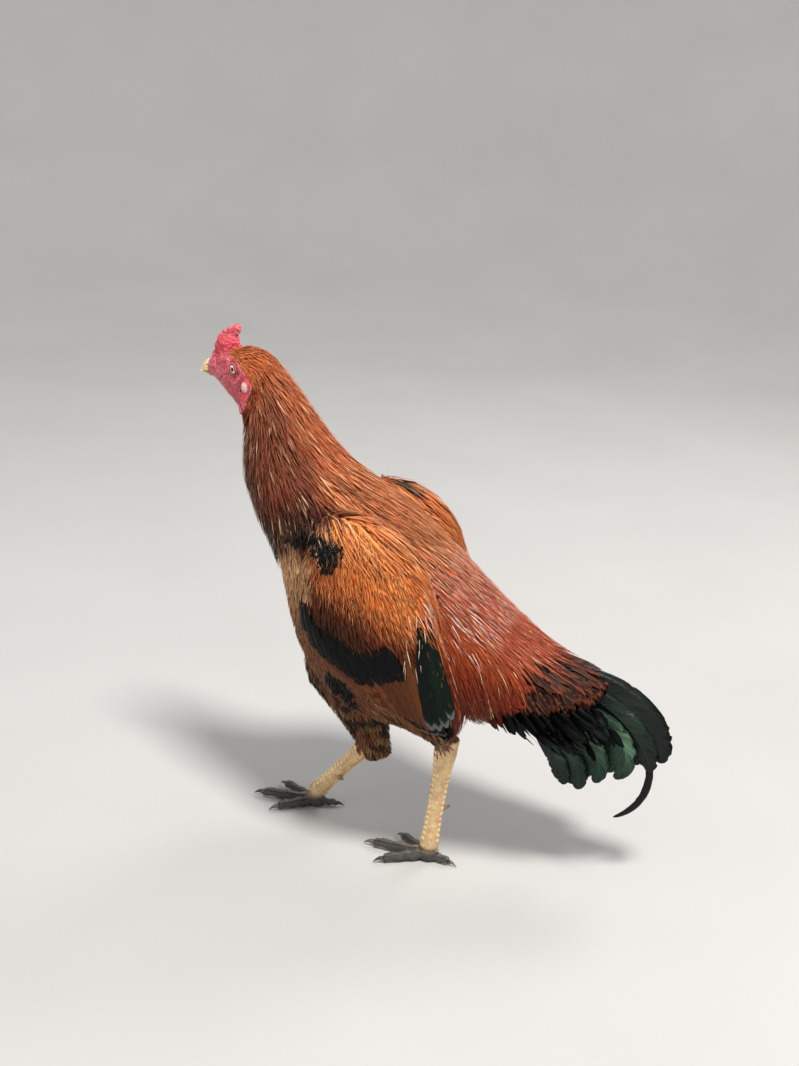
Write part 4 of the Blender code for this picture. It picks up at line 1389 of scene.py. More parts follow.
FRONT_HACKLE = dict(
    seed=31, chosen=(NECK | BODY) & (FACE_ROWS > 7.9) & (FACE_ROWS < 9.25) & (FACE_DOWNS > 0.34),
    spacing=2.9 * MM, rows=9, length=graded(44.0, 48.0, FACE_DOWNS, 0.5, 0.95), half=1.5 * MM,
    lie=lie_of_front, outline=pointed, thick=0.28 * MM, ruffle=1.2 * MM, varies=0.22, root=0.75,
    bend=0.10, glint=0.04, cling=0.55, lift=2.4 * MM, colour=front_hem_colour)
LOWER_HACKLE = dict(
    seed=3, chosen=(NECK | BODY) & (FACE_ROWS > 7.8) & (FACE_ROWS < 9.7) & (FACE_DOWNS < 0.42),
    spacing=3.1 * MM, rows=10, length=graded(82.0, 56.0, FACE_DOWNS, 0.20, 0.42), half=1.55 * MM,
    lie=lie_of_cape, outline=pointed, thick=0.28 * MM, ruffle=1.0 * MM, varies=0.22, root=0.70,
    bend=0.12, glint=0.07, cling=0.45, sag=0.12, lift=1.6 * MM, striped=0.14, uneven=(0.8, 1.25))
CAPE = dict(
    seed=4, chosen=LOW_NAPE | (WINGS & ABOVE_HEM & (FACE_X < 0.0)), spacing=3.6 * MM, rows=9,
    length=graded(60.0, 38.0, FACE_DOWNS, 0.12, 0.42), half=1.9 * MM, lie=lie_of_cape, outline=pointed,
    thick=0.28 * MM, ruffle=0.8 * MM, varies=0.24, root=0.75, bend=0.12, striped=0.14, fringe=STRAW,
    fringed=0.25, glint=0.08, cling=0.75, lift=1.4 * MM, uneven=(0.8, 1.25))
BACK = dict(
    seed=5, chosen=BODY, spacing=7.0 * MM, rows=6, length=30 * MM, half=5.2 * MM, lie=lie_of_body,
    outline=rounded, varies=0.15, root=0.7, ruffle=0.3 * MM, lift=-0.6 * MM)
SADDLE = dict(
    seed=6, chosen=SADDLE_FIELD, spacing=3.3 * MM, rows=10, length=saddle_length, half=1.45 * MM,
    lie=lie_of_saddle, outline=pointed, thick=0.28 * MM, ruffle=1.2 * MM, varies=0.26, root=0.72,
    bend=0.10, glint=0.05, cling=0.5, sag=0.10, lift=1.0 * MM, uneven=(0.78, 1.34),
    colour=saddle_strand_colour)
TAIL_COVERTS = dict(
    seed=32, chosen=BODY & (FACE_X > 0.098) & (FACE_DOWNS < 0.72) & ~BEFORE_COVERTS, spacing=7.5 * MM,
    rows=10, length=covert_length, half=4.8 * MM, lie=lie_of_coverts, outline=leafy, spans=MANY_SPANS,
    thick=0.25 * MM, camber=0.05, ruffle=2.2 * MM, varies=0.25, root=0.8, bend=0.18, cling=0.5, sag=0.35,
    lift=1.2 * MM, uneven=(0.75, 1.25), colour=one_colour(COVERT_BLACK), fringe=COVERT_EDGE, fringed=1.0)
BREAST = dict(
    seed=7, chosen=BREAST_BODY | BREAST_NECK | BREAST_STRIP, spacing=3.5 * MM, rows=7, length=24 * MM,
    half=2.3 * MM, lie=lie_of_body, outline=soft_ended, thick=0.22 * MM, varies=0.15, root=0.80,
    fringe=BREAST_TAN, fringed=0.22, ruffle=0.6 * MM, lift=0.2 * MM, bend=0.16)
VENT = dict(
    seed=8, chosen=BODY & (FACE_DOWNS > 0.50) & (FACE_X > 0.078), spacing=7.5 * MM, rows=9,
    length=graded(22.0, 50.0, FACE_X, 0.078, 0.110), half=6.0 * MM, lie=lie_of_undertail, outline=leafy,
    spans=MANY_SPANS, thick=0.20 * MM, varies=0.22, root=0.8, ruffle=1.6 * MM, bend=0.30, cling=0.0,
    sag=0.1, lift=0.8 * MM, camber=0.03, twist=0.4, uneven=(0.75, 1.25))
THIGH = dict(
    seed=9, chosen=THIGHS, spacing=3.1 * MM, rows=6, length=graded(20.0, 12.0, 0.19 - FACE_Z, 0.0, 0.08),
    half=2.2 * MM, lie=lie_of_thigh, outline=soft_ended, thick=0.22 * MM, varies=0.18, root=0.80,
    ruffle=0.6 * MM, bend=0.16)
# Black feathers on the breast's marks and under the cape's hem, where they also paint the shade.
SHOULDER_MARKS_AND_SHADE = dict(
    seed=27, chosen=MARKED_AND_SHADED, spacing=3.4 * MM, rows=7, length=13 * MM, half=2.6 * MM, lie=lie_of_wing,
    outline=leafy, thick=0.24 * MM, varies=0.10, root=0.9, bend=0.35, ruffle=1.4 * MM, lift=3.0 * MM,
    cling=0.7, uneven=(0.7, 1.3), colour=one_colour(BLACK))
WING_BASE = dict(
    seed=10, chosen=WINGS, spacing=7.0 * MM, rows=6, length=24 * MM, half=5.0 * MM, lie=lie_of_wing,
    outline=rounded, varies=0.12, root=0.8, ruffle=0.3 * MM, lift=-0.6 * MM)
WING_BOW = dict(
    seed=11, chosen=BOW, spacing=2.9 * MM, rows=8, half=1.75 * MM,
    length=graded(22.0, 29.0, hem_height(FACE_X) - FACE_Z, 0, 0.06), lie=lie_of_wing, outline=soft_ended,
    thick=0.24 * MM, varies=0.24, root=0.78, ruffle=0.7 * MM, lift=0.5 * MM, fringe=BOW_GOLD,
    fringed=0.12, bend=0.22)
SADDLE_GLINTS = dict(
    seed=25, chosen=SADDLE_FIELD & (FACE_DOWNS < 0.17) & (FACE_ROWS < 13.3), spacing=5.0 * MM, rows=10,
    length=lambda faces: 0.5 * saddle_length(faces), half=0.62 * MM, lie=lie_of_saddle, outline=pointed,
    thick=0.26 * MM, ruffle=1.0 * MM, varies=0.30, root=0.60, bend=0.14, cling=0.6, sag=0.10,
    lift=1.9 * MM, colour=one_colour(GLINT_PINK))
# Pale strands at the top of the tertials, painted as a highlight.
GLINT_WISPS = dict(
    seed=26, chosen=WING_REAR, spacing=8.5 * MM, rows=10, length=30 * MM, half=0.55 * MM,
    lie=lie_of_wisps, outline=pointed, thick=0.26 * MM, ruffle=1.2 * MM, varies=0.20, root=0.8,
    bend=0.16, cling=0.5, lift=3.6 * MM, colour=one_colour(GLINT_WISP_BUFF))


# ---- fine loose barbs, painted pale as highlights -----------------------------------------------------

def loose(seed, chosen, spacing, length, lie, colour, lift, cling=0.8, sag=0.0, half=0.34 * MM):
    return dict(seed=seed, chosen=chosen, spacing=spacing, rows=7, length=length, half=half, lie=lie,
                outline=hairy, thick=0.30 * MM, varies=0.30, root=0.7, bend=0.30,
                ruffle=1.3 * MM, lift=lift, cling=cling, sag=sag, colour=colour)


LOOSE_NECK = loose(21, (HEAD | NECK) & FEATHERED & (FACE_ROWS > 5.0) & (FACE_ROWS < 8.4), 3.9 * MM,
                   26 * MM, lie_of_body, paler(0.28), 1.2 * MM, half=0.27 * MM)
LOOSE_CAPE = loose(22, CAPE["chosen"], 5.2 * MM, 36 * MM, lie_of_cape, paler(0.40), 2.2 * MM)
LOOSE_SADDLE = loose(23, SADDLE_FIELD, 4.2 * MM, lambda faces: 0.62 * saddle_length(faces),
                     lie_of_saddle, paler(0.16, PALE_RED), 2.2 * MM, 0.5, 0.15)
LOOSE_BOW = loose(24, BOW & (FACE_Z > bar_upper(FACE_X) + 0.045), 4.6 * MM, 18 * MM, lie_of_wing,
                  paler(0.60, PALE_GOLD), 1.6 * MM)

TRACTS = (
    ("crown", [CROWN], PLUMAGE, "hackle"),
    ("face_edge", [FACE_EDGE], PLUMAGE, "hackle"),
    ("hackle_upper", [UPPER_HACKLE], HACKLE, "hackle"),
    ("hackle_lower", [LOWER_HACKLE], HACKLE, "hackle"),
    ("hackle_front", [FRONT_HACKLE], HACKLE, "hackle"),
    ("tail_coverts", [TAIL_COVERTS], STIFF, "tail"),
    ("cape", [CAPE], HACKLE, "hackle"),
    ("back_feathers", [BACK], PLUMAGE, "saddle"),
    ("saddle_hackle", [SADDLE], HACKLE, "saddle"),
    ("saddle_glints", [SADDLE_GLINTS, GLINT_WISPS], HACKLE, "saddle"),
    ("breast_feathers", [BREAST], PLUMAGE, "breast"),
    ("vent_feathers", [VENT], STIFF, "breast"),
    ("thigh_feathers", [THIGH], PLUMAGE, "breast"),
    ("wing_base", [WING_BASE], PLUMAGE, "wing"),
    ("wing_bow", [WING_BOW], PLUMAGE, "wing"),
    ("shoulder_marks_and_shade", [SHOULDER_MARKS_AND_SHADE], PLUMAGE, "wing"),
    ("loose_barbs", [LOOSE_NECK, LOOSE_CAPE, LOOSE_SADDLE, LOOSE_BOW], HACKLE, "hackle"),
)
for name, tracts, look, slot in TRACTS:
    coat_piece(name, tracts, look, look is STIFF)


# ---- stiff vanes of the wing and tail ---------------------------------------------------------------

BROAD_SPANS = ((-1, 0), (-0.66, 0.30), (-0.33, 0.42), (-0.06, 0.5), (0, 1.6), (0.06, 0.5), (0.33, 0.42),
               (0.66, 0.30), (1, 0), (0.4, -0.5), (-0.4, -0.5))
VANE_ROWS = 30
VANE_STEPS = 1 - (1 - np.linspace(0, 1, VANE_ROWS)) ** 1.5


def vane_outline(s, round_from=0.70):
    """Narrow at the root, fullest past the middle, rounded at the end."""
    tip = np.clip((s - round_from) / (1.003 - round_from), 0, 1)
    return (0.35 + 0.65 * np.sin(np.pi * np.minimum(s / 1.25, 0.5))) * np.sqrt(1 - tip ** 2.2)


def broad_vanes(lines, across, up, half, rng, thick=0.55 * MM, camber=0.10, splits=2, round_from=0.70):
    """Rings of stiff vanes along their shafts, with a ridge for the shaft and a few parted barbs."""
    count, rows = lines.shape[:2]
    s = VANE_STEPS
    widths = half[:, None] * vane_outline(s, round_from)[None]
    edge = {sign: np.ones((count, rows)) for sign in (-1, 1)}
    for index in range(count):
        for sign in (-1, 1):
            for _ in range(splits):
                row = int(rng.integers(rows // 3, rows - 2))
                edge[sign][index, row] *= rng.uniform(0.78, 0.94)
    fade = (thick * (1.0 - 0.55 * s))[None]
    ring = []
    for aside, rise in BROAD_SPANS:
        reach = widths * aside * (edge[1] if aside > 0.5 else edge[-1] if aside < -0.5 else 1.0)
        high = fade * rise - camber * widths * aside ** 2
        ring.append(lines + across * reach[..., None] + up * high[..., None])
    asides = np.array([aside for aside, _ in BROAD_SPANS])
    steps = np.linalg.norm(np.diff(lines, axis=1), axis=2)
    travelled = np.concatenate((np.zeros((count, 1)), np.cumsum(steps, 1)), 1)
    vane = np.empty((count, rows, len(asides), 2))
    vane[..., 0] = widths[..., None] * asides / 0.010
    vane[..., 1] = travelled[..., None] / 0.010 + rng.uniform(0, 90, count)[:, None, None]
    return np.stack(ring, 2), vane, s, asides


def vane_colours(bases, tips, s, asides, rng, shaft=1.5):
    """Colours of broad vanes: a paler shaft, and a tip of its own."""
    count = len(bases)
    colours = bases[:, None, None] * np.ones((1, len(s), len(asides), 1))
    colours = colours * np.exp(rng.normal(0, 0.12, (count, 1, 1, 1)))
    at_tip = ease(s[None, :, None] + 0.06 * np.abs(asides)[None, None, :], 0.93, 0.98)
    colours = mix(colours, tips[:, None, None], at_tip * np.ones((count, 1, 1)))
    ridge = np.where(np.abs(asides) < 0.01, shaft, 1.0)
    return colours * ridge[None, None, :, None]


def own_islands(count, s, asides):
    """A place of its own on the bake's map for each large vane."""
    columns = math.ceil(math.sqrt(count * 2))
    lines = math.ceil(count / columns)
    index = np.arange(count)
    u = 0.01 + 0.98 * (index % columns) / columns
    v = 0.02 + 0.96 * (index // columns) / lines
    found = np.empty((count, len(s), len(asides), 2))
    found[..., 0] = (u + 0.49 / columns)[:, None, None] + 0.40 / columns * asides[None, None, :]
    found[..., 1] = v[:, None, None] + 0.96 / lines * (0.04 + 0.90 * s[None, :, None])
    return found


def side_surface(x, z, sign):
    """The outer form's place at a side-view point, seen from that side."""
    found = []
    for one_x, one_z in zip(np.atleast_1d(x), np.atleast_1d(z)):
        start = Vector((one_x, 0.30 * sign, one_z)) + Vector(SHIFT)
        hit = OUTER_TREE.ray_cast(start, Vector((0, -sign, 0)))
        found.append(hit[0] if hit[0] is not None else start - Vector((0, 0.24 * sign, 0)))
    return np.array(found)


def wing_vanes():
    """The folded wing's vanes: tip in side view, slope below the level in degrees, length, half
    width and height over the form in millimetres, and the vane's colour and its tip's."""
    found = []
    for k in range(9):
        t = k / 8
        tip = mix(np.array((-0.044, 0.2080)), np.array((0.024, 0.1750)), t)
        shade = mix(BAY, BAY_DARK, 0.25 + 0.5 * (k % 2))
        found.append((*tip, 34 + 40 * t, 66 + 26 * t, 8.2, 0.3 + 0.09 * k, shade, shade))
    for k, (x, z) in enumerate(((0.022, 0.1690), (0.031, 0.1665), (0.040, 0.1680))):
        found.append((x, z, 46 + 8 * k, 46, 6.6, 0.15 + 0.1 * k, BLACK, mix(BLACK, SILVER, 0.5)))
    grey = mix(BLACK, SILVER, 0.6)
    for k, (x, z) in enumerate(((0.0290, 0.1770), (0.0370, 0.1790), (0.0445, 0.1850), (0.0500, 0.1960))):
        green = mix(BLACK, BOTTLE_GREEN, 0.5 if k > 1 else 0.2)
        found.append((x, z, 81 - 3 * k, 118 - 7 * k, 7.4 - 0.5 * k, 2.4 + 0.25 * k, green, grey))
    for row, rise in ((0, 0.0), (1, 0.0095)):
        for k in range(11 - row):
            x = -0.1115 + 0.0108 * (k + 0.5 * row)
            z = bar_lower(x) + rise + 0.0015 * math.sin(5.0 * k)
            found.append((x, z, 78 - 20 * k / 10, 31, 7.6, 1.15 + 0.35 * row + 0.02 * (k % 2), BLACK, BLACK))
    return found


def make_wing_vanes():
    vanes = wing_vanes()
    for side, sign in SIDES.items():
        rng = np.random.default_rng(51)
        x, z, slope, length, half, height = (np.array([v[i] for v in vanes], float) for i in range(6))
        length, half, height = length * MM, half * MM, height * MM
        ways = slope_ways(slope)
        roots = side_surface(x - ways[:, 0] * length, z - ways[:, 2] * length, sign)
        lines, normals, _ = trace(roots, length * 1.01, VANE_ROWS, lambda points: ways)
        lines = at_vane_steps(lines)
        normals = at_vane_steps(normals)
        s = VANE_STEPS
        normals = unit(np.stack([smoothed_row(normals[:, :, axis]) for axis in range(3)], -1))
        lines = lines + normals * (height[:, None] * ease(s, -0.2, 0.5)[None])[..., None]
        run = unit(np.gradient(lines, axis=1))
        across = unit(np.cross(normals, run))
        up = np.cross(run, across)
        places, vane, s, asides = broad_vanes(lines, across, up, half, rng, round_from=0.78)
        bases, tips = (np.array([np.asarray(v[i], float) for v in vanes]) for i in (6, 7))
        colours = vane_colours(bases, tips, s, asides, rng)
        maps = {"Vane": vane, "OFBake": own_islands(len(vanes), s, asides)}
        piece = rings_mesh(f"wing_vanes_{side}", places, colours, STIFF, maps, True)
        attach(piece, "root")


def at_vane_steps(values):
    """Evenly read rows, read again at the vane's own steps, which crowd towards the tip."""
    place = VANE_STEPS * (values.shape[1] - 1)
    low = np.minimum(place.astype(int), values.shape[1] - 2)
    share = (place - low)[None, :, None]
    return values[:, low] * (1 - share) + values[:, low + 1] * share


def smoothed_row(values):
    for _ in range(4):
        padded = np.concatenate((values[:, :1], values, values[:, -1:]), 1)
        values = (padded[:, :-2] + 2 * values + padded[:, 2:]) / 4
    return values


# Tail vanes: where the shaft starts in side view, the slope it leaves at and ends at, length,
# half width, distance from the middle plane, splay in degrees, share of green gloss, and how late
# it bends.
TAIL = (
    (0.144, 0.2345, 12, 76, 0.153, 0.0185, 0.0034, 1.5, 0.05, 1.5),
    (0.145, 0.224, 19, 71, 0.140, 0.0160, 0.0066, 2.5, 0.15, 1.5),
    (0.148, 0.200, 28, 72, 0.092, 0.0135, 0.0098, 3.5, 0.45, 2.4),
    (0.156, 0.203, 20, 142, 0.116, 0.0115, 0.0130, 4.5, 0.95, 2.4),
    (0.136, 0.187, 22, 122, 0.100, 0.0115, 0.0162, 5.5, 0.90, 2.4),
    (0.129, 0.171, 32, 104, 0.082, 0.0115, 0.0194, 6.5, 0.55, 2.4),
    (0.126, 0.168, 44, 88, 0.066, 0.0100, 0.0226, 7.5, 0.35, 2.4),
)
SICKLE = (0.177, 0.208, 24, 154, 0.182, 0.0042, 0.0, 0.0, 0.1, 1.5)
# Each vane has neighbours a little above and below it, shorter and closer to the middle.
NEIGHBOURS = ((0.0, 1.00, 1.00, 0.0), (-3.0, 0.95, 0.85, -1.1), (3.5, 0.90, 0.80, -1.9))


def shaft_line(vane, sign, lean, length_share, layer):
    root_x, root_z, leaves, ends, length, _, out, splay, _, late = vane
    s = np.linspace(0, 1, VANE_ROWS * 4)
    slope = np.radians(leaves + lean + (ends - leaves) * s ** late)
    aside = math.radians(splay) * sign
    steps = np.stack((np.cos(slope) * math.cos(aside), np.cos(slope) * math.sin(aside), -np.sin(slope)), -1)
    start = np.array((root_x, sign * (out + layer * MM), root_z)) + SHIFT
    line = start + np.cumsum(steps, 0) * length * length_share / len(s)
    picked = np.round(VANE_STEPS * (len(s) - 1)).astype(int)
    upward = np.stack((np.sin(slope), np.zeros(len(s)), np.cos(slope)), -1)
    return line[picked], upward[picked]


def make_tail():
    for side, sign in SIDES.items():
        rng = np.random.default_rng(61)
        lines, ups, half, greens = [], [], [], []
        for vane in TAIL:
            for lean, length_share, width_share, layer in NEIGHBOURS:
                line, upward = shaft_line(vane, sign, lean, length_share, layer)
                lines.append(line)
                ups.append(upward)
                half.append(vane[5] * width_share)
                greens.append(vane[8] * (1.0 if not lean else 0.7))
        lines, ups = np.array(lines), np.array(ups)
        outward = np.zeros_like(ups)
        outward[..., 1] = sign
        half = np.array(half)
        places, vane_map, s, asides = broad_vanes(lines, ups, outward, half, rng, 0.6 * MM, 0.22, 8)
        greens = np.array(greens)
        bases = 1.3 * mix(np.array(BLACK), np.array(BOTTLE_GREEN), greens)
        colours = vane_colours(bases, bases * 0.8, s, asides, rng, shaft=2.2)
        where = rng.uniform(0.42, 0.66, len(lines))
        sheen = np.exp(-((s[None, :] - where[:, None]) / 0.16) ** 2)[..., None]
        sheen = sheen * np.where(asides > 0.05, 1.0, 0.25)[None, None, :] * greens[:, None, None]
        colours = mix(colours, GREEN_SHEEN, 0.75 * sheen)
        maps = {"Vane": vane_map, "OFBake": own_islands(len(lines), s, asides)}
        piece = rings_mesh(f"tail_vanes_{side}", places, colours, TAIL_GLOSS, maps, True)
        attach(piece, "root")
        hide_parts(*(f"tail_feather_{side}_{k + 1}" for k in range(len(TAIL))))
    rng = np.random.default_rng(62)
    line, upward = shaft_line(SICKLE, 1.0, 0.0, 1.0, 0.0)
    outward = np.zeros_like(upward)
    outward[..., 1] = -1.0
    places, vane_map, s, asides = broad_vanes(line[None], upward[None], outward[None],
                                              np.array([SICKLE[5]]), rng, 0.6 * MM, 0.2, 3)
    colours = vane_colours(np.array([BLACK]), np.array([BLACK]), s, asides, rng, shaft=2.0)
    maps = {"Vane": vane_map, "OFBake": own_islands(1, s, asides)}
    piece = rings_mesh("tail_sickle_vane", places, colours, TAIL_GLOSS, maps, True)
    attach(piece, "root")
    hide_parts("tail_sickle")


TAIL_GLOSS = vane_look("tail_gloss", 6.0, 0.25, 2.40, 0.90, Roughness=0.32, Specular_IOR_Level=0.20)
make_wing_vanes()
make_tail()


# ---- the comb's grains and the legs' scales, by geometry nodes -----------------------------------------

class Tree(Nodes):
    """A tree of geometry nodes."""

    def __init__(self, name, **sizes):
        self.tree = bpy.data.node_groups.new(name, "GeometryNodeTree")
        self.tree.interface.new_socket("Geometry", in_out="OUTPUT", socket_type="NodeSocketGeometry")
        self.tree.interface.new_socket("Geometry", in_out="INPUT", socket_type="NodeSocketGeometry")
        self.identifiers = {}
        for size, kind in sizes.items():
            made = self.tree.interface.new_socket(size, in_out="INPUT", socket_type="NodeSocket" + kind)
            self.identifiers[size] = made.identifier
        self.entry = self.tree.nodes.new("NodeGroupInput")
        self.exit = self.tree.nodes.new("NodeGroupOutput")

    def value(self, size):
        return self.entry.outputs[size]

    def named(self, name, kind):
        made = self.node("GeometryNodeInputNamedAttribute", {"Name": name}, data_type=kind)
        return made.outputs["Attribute"]

    def close(self, geometry, material):
        real = self.node("GeometryNodeRealizeInstances", {"Geometry": geometry})
        dressed = self.node("GeometryNodeSetMaterial", {"Geometry": real.outputs[0], "Material": material})
        self.tree.links.new(dressed.outputs[0], self.exit.inputs[0])
        return self

    def grown_on(self, made, **values):
        modifier = made.modifiers.new(self.tree.name, "NODES")
        modifier.node_group = self.tree
        for size, value in values.items():
            modifier[self.identifiers[size]] = value
        return baked(made)


def grain_tree():
    """Round grains strewn over a surface, each half sunk in it."""
    tree = Tree("grains", **{"Grains per square metre": "Float", "Smallest grain": "Float",
                             "Largest grain": "Float", "Seed": "Int"})
    points = tree.node("GeometryNodeDistributePointsOnFaces",
                       {"Mesh": tree.entry.outputs["Geometry"],
                        "Density": tree.value("Grains per square metre"), "Seed": tree.value("Seed")})
    grain = tree.node("GeometryNodeMeshUVSphere", {"Segments": 9, "Rings": 6, "Radius": 1.0})
    size = tree.node("FunctionNodeRandomValue", data_type="FLOAT")
    tree.tree.links.new(tree.value("Smallest grain"), size.inputs[2])
    tree.tree.links.new(tree.value("Largest grain"), size.inputs[3])
    tree.tree.links.new(tree.value("Seed"), size.inputs["Seed"])
    laid = tree.node("GeometryNodeInstanceOnPoints",
                     {"Points": points.outputs["Points"], "Instance": grain.outputs["Mesh"],
                      "Rotation": points.outputs["Rotation"], "Scale": size.outputs[1]})
    smooth = tree.node("GeometryNodeSetShadeSmooth", {"Geometry": laid.outputs[0]})
    return tree.close(smooth.outputs[0], GRAIN)


def scale_tree():
    """Rounded shields at points, each turned to face out and lie along the limb."""
    tree = Tree("scales", **{"Length": "Float", "Width": "Float", "Rise": "Float"})
    shield = tree.node("GeometryNodeMeshUVSphere", {"Segments": 12, "Rings": 6, "Radius": 0.5})
    facing = tree.node("FunctionNodeAlignRotationToVector",
                       {"Vector": tree.named("out", "FLOAT_VECTOR")}, axis="Z")
    lying = tree.node("FunctionNodeAlignRotationToVector",
                      {"Rotation": facing.outputs[0], "Vector": tree.named("along", "FLOAT_VECTOR")},
                      axis="X", pivot_axis="Z")
    form = tree.node("ShaderNodeCombineXYZ", {"X": tree.value("Length"), "Y": tree.value("Width"),
                                              "Z": tree.value("Rise")})
    sized = tree.node("ShaderNodeVectorMath", {0: form.outputs[0]}, operation="SCALE")
    tree.tree.links.new(tree.named("size", "FLOAT"), sized.inputs["Scale"])
    points = tree.node("GeometryNodeMeshToPoints", {"Mesh": tree.entry.outputs["Geometry"]})
    laid = tree.node("GeometryNodeInstanceOnPoints",
                     {"Points": points.outputs[0], "Instance": shield.outputs["Mesh"],
                      "Rotation": lying.outputs[0], "Scale": sized.outputs[0]})
    smooth = tree.node("GeometryNodeSetShadeSmooth", {"Geometry": laid.outputs[0]})
    return tree.close(smooth.outputs[0], SCALE)


def limb_scales(axis_from, axis_to, front, first, last, count, columns, spread, size):
    """Points on the skin along a limb, in columns that stagger: place, outward, along and size."""
    rows = []
    axis_from, axis_to = np.asarray(axis_from) + SHIFT, np.asarray(axis_to) + SHIFT
    along = unit(axis_to - axis_from)
    front = unit(np.asarray(front) - along * (np.asarray(front) @ along))
    side = np.cross(along, front)
    for k in range(count):
        for column in range(columns):
            t = first + (last - first) * (k + 0.5 * (column % 2)) / count
            angle = spread * (column - (columns - 1) / 2)
            ray = front * math.cos(angle) + side * math.sin(angle)
            start = axis_from + (axis_to - axis_from) * t + ray * 0.035
            hit = SKIN_TREE.ray_cast(Vector(start), Vector(-ray), 0.05)
            if hit[0] is not None and hit[0].z > 0.0015:
                out = unit(np.array(hit[1]) + 0.8 * ray)
                rows.append((*hit[0], *out, *along, size * (1 - 0.25 * abs(angle))))
    return rows


# Each toe's angle from the middle one, in degrees, and its length.
TOES = ((-34.0, 0.044), (0.0, 0.062), (32.0, 0.050), (172.0, 0.024))


def make_leg_scales(side, sign):
    leg = LEGS[side]
    hock, ankle = np.array(leg["hock"]), np.array(leg["ankle"])
    rows = limb_scales(hock, ankle, (-1, 0, 0), 0.10, 0.97, 17, 3, 0.62, 1.0)
    rows += limb_scales(hock, ankle, (1, 0, 0), 0.16, 0.95, 15, 2, 0.70, 0.85)
    for angle, length in TOES:
        heading = math.radians(180 + leg["heading"] + sign * angle)
        way = np.array((math.cos(heading), -math.sin(heading), 0.0))
        root = np.array((ankle[0], ankle[1], 0.004))
        count = max(4, int(length / 0.0042))
        rows += limb_scales(root + way * 0.008, root + way * (length + 0.002), (0, 0, 1), 0.10, 0.98,
                            count, 1, 0.0, 0.92)
    rows = np.array(rows)
    mesh = bpy.data.meshes.new(f"leg_scales_{side}")
    mesh.from_pydata(rows[:, :3].tolist(), [], [])
    for name, values in (("out", rows[:, 3:6]), ("along", rows[:, 6:9])):
        layer = mesh.attributes.new(name, "FLOAT_VECTOR", "POINT")
        layer.data.foreach_set("vector", values.astype(np.float32).ravel())
    mesh.attributes.new("size", "FLOAT", "POINT").data.foreach_set("value", rows[:, 9].astype(np.float32))
    made = scale_tree().grown_on(new_object(mesh.name, mesh), **{"Length": 6.2 * MM, "Width": 7.6 * MM,
                                                                 "Rise": 1.5 * MM})
    places = coordinates(made.data)
    places[:, 2] = np.maximum(places[:, 2], 0.0003)
    set_coordinates(made.data, places)
    labels, _ = labels_at(places)
    colour_vertices(made.data, bare_colour(places, labels) * 1.05)
    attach(made, "root")


def painted_look(name, scale, low, high, **values):
    look = Look(name, **values)
    speckle = look.noise(look.place(), scale, 4.0)
    tone = look.ramp(speckle, (0.32, low), (0.70, high))
    look.colour_from(tone)
    look.bump(speckle, 0.3, 0.0004)
    return look.material


SCALE = painted_look("leg_scale", 260.0, 0.82, 1.12, Roughness=0.40)
GRAIN = painted_look("comb_grain", 500.0, 0.80, 1.15, Roughness=0.36, Subsurface_Weight=0.10,
                     Subsurface_Scale=0.003)
HORN = painted_look("horn", 300.0, 0.82, 1.10, Roughness=0.30, Coat_Weight=0.15)
EYE = painted_look("eye", 900.0, 0.90, 1.06, Roughness=0.12, Coat_Weight=0.35, Coat_Roughness=0.03)


def part_of_skin(name, node):
    """A copy of the skin's faces on one node, to strew things over."""
    keep = skin_labels == FLESH.index(node)
    work = bmesh.new()
    work.from_mesh(skin.data)
    work.verts.ensure_lookup_table()
    bmesh.ops.delete(work, geom=[v for v in work.verts if not keep[v.index]], context="VERTS")
    mesh = bpy.data.meshes.new(name)
    work.to_mesh(mesh)
    work.free()
    return new_object(name, mesh)


def make_comb_grains():
    under = part_of_skin("comb_grains", "comb")
    set_coordinates(under.data, coordinates(under.data) - 0.35 * MM * normals_of(under.data))
    made = grain_tree().grown_on(under,
                                 **{"Grains per square metre": 420000.0, "Smallest grain": 0.45 * MM,
                                    "Largest grain": 1.15 * MM, "Seed": 7})
    places = coordinates(made.data)
    comb = np.full(len(places), FLESH.index("comb"))
    colour_vertices(made.data, bare_colour(places, comb) * 1.08)
    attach(made, "root")


# ---- eyes, lids, bill, claws ------------------------------------------------------------------------

# Rings of the eye: the angle from the gaze in degrees, how far it bulges, and its colour there.
EYE_RINGS = (
    (0.6, 1.065, (0.004, 0.004, 0.004)), (8, 1.062, (0.004, 0.004, 0.004)),
    (17.0, 1.046, (0.004, 0.004, 0.004)), (18.5, 1.042, (0.62, 0.36, 0.15)),
    (22, 1.034, (0.92, 0.76, 0.46)), (28, 1.020, (0.97, 0.88, 0.68)),
    (35, 1.004, (0.92, 0.78, 0.54)), (38, 1.000, (0.30, 0.12, 0.06)), (48, 1.0, (0.10, 0.04, 0.03)),
    (70, 1.0, (0.30, 0.12, 0.10)), (100, 1.0, (0.30, 0.12, 0.10)), (140, 1.0, (0.30, 0.12, 0.10)),
    (179, 1.0, (0.30, 0.12, 0.10)),
)


EYE_SIDES = 56
LID_STEPS, LID_SIDES = 48, 8
LID_HEIGHT, LID_HALF = 0.30 * MM, 0.62 * MM


def make_eye(side):
    gaze, long_way, short_way = eye_axes(side)
    around = 2 * np.pi * np.arange(EYE_SIDES) / EYE_SIDES
    rings, colours = [], []
    for angle, bulge, colour in EYE_RINGS:
        a = math.radians(angle)
        narrow = 0.62 if angle < 20 else 0.80 if angle < 25 else 1.0
        circle = np.cos(around)[:, None] * long_way + narrow * np.sin(around)[:, None] * short_way
        rings.append(EYE_CENTRES[side] + EYE_RADIUS * bulge * (math.cos(a) * gaze + math.sin(a) * circle))
        colours.append(np.tile(colour, (EYE_SIDES, 1)))
    places = from_head_local(np.array(rings))[None]
    made = rings_mesh(f"eyeball_{side}", places, np.array(colours)[None], EYE)
    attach(made, "root")
    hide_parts(f"eye_{side}")


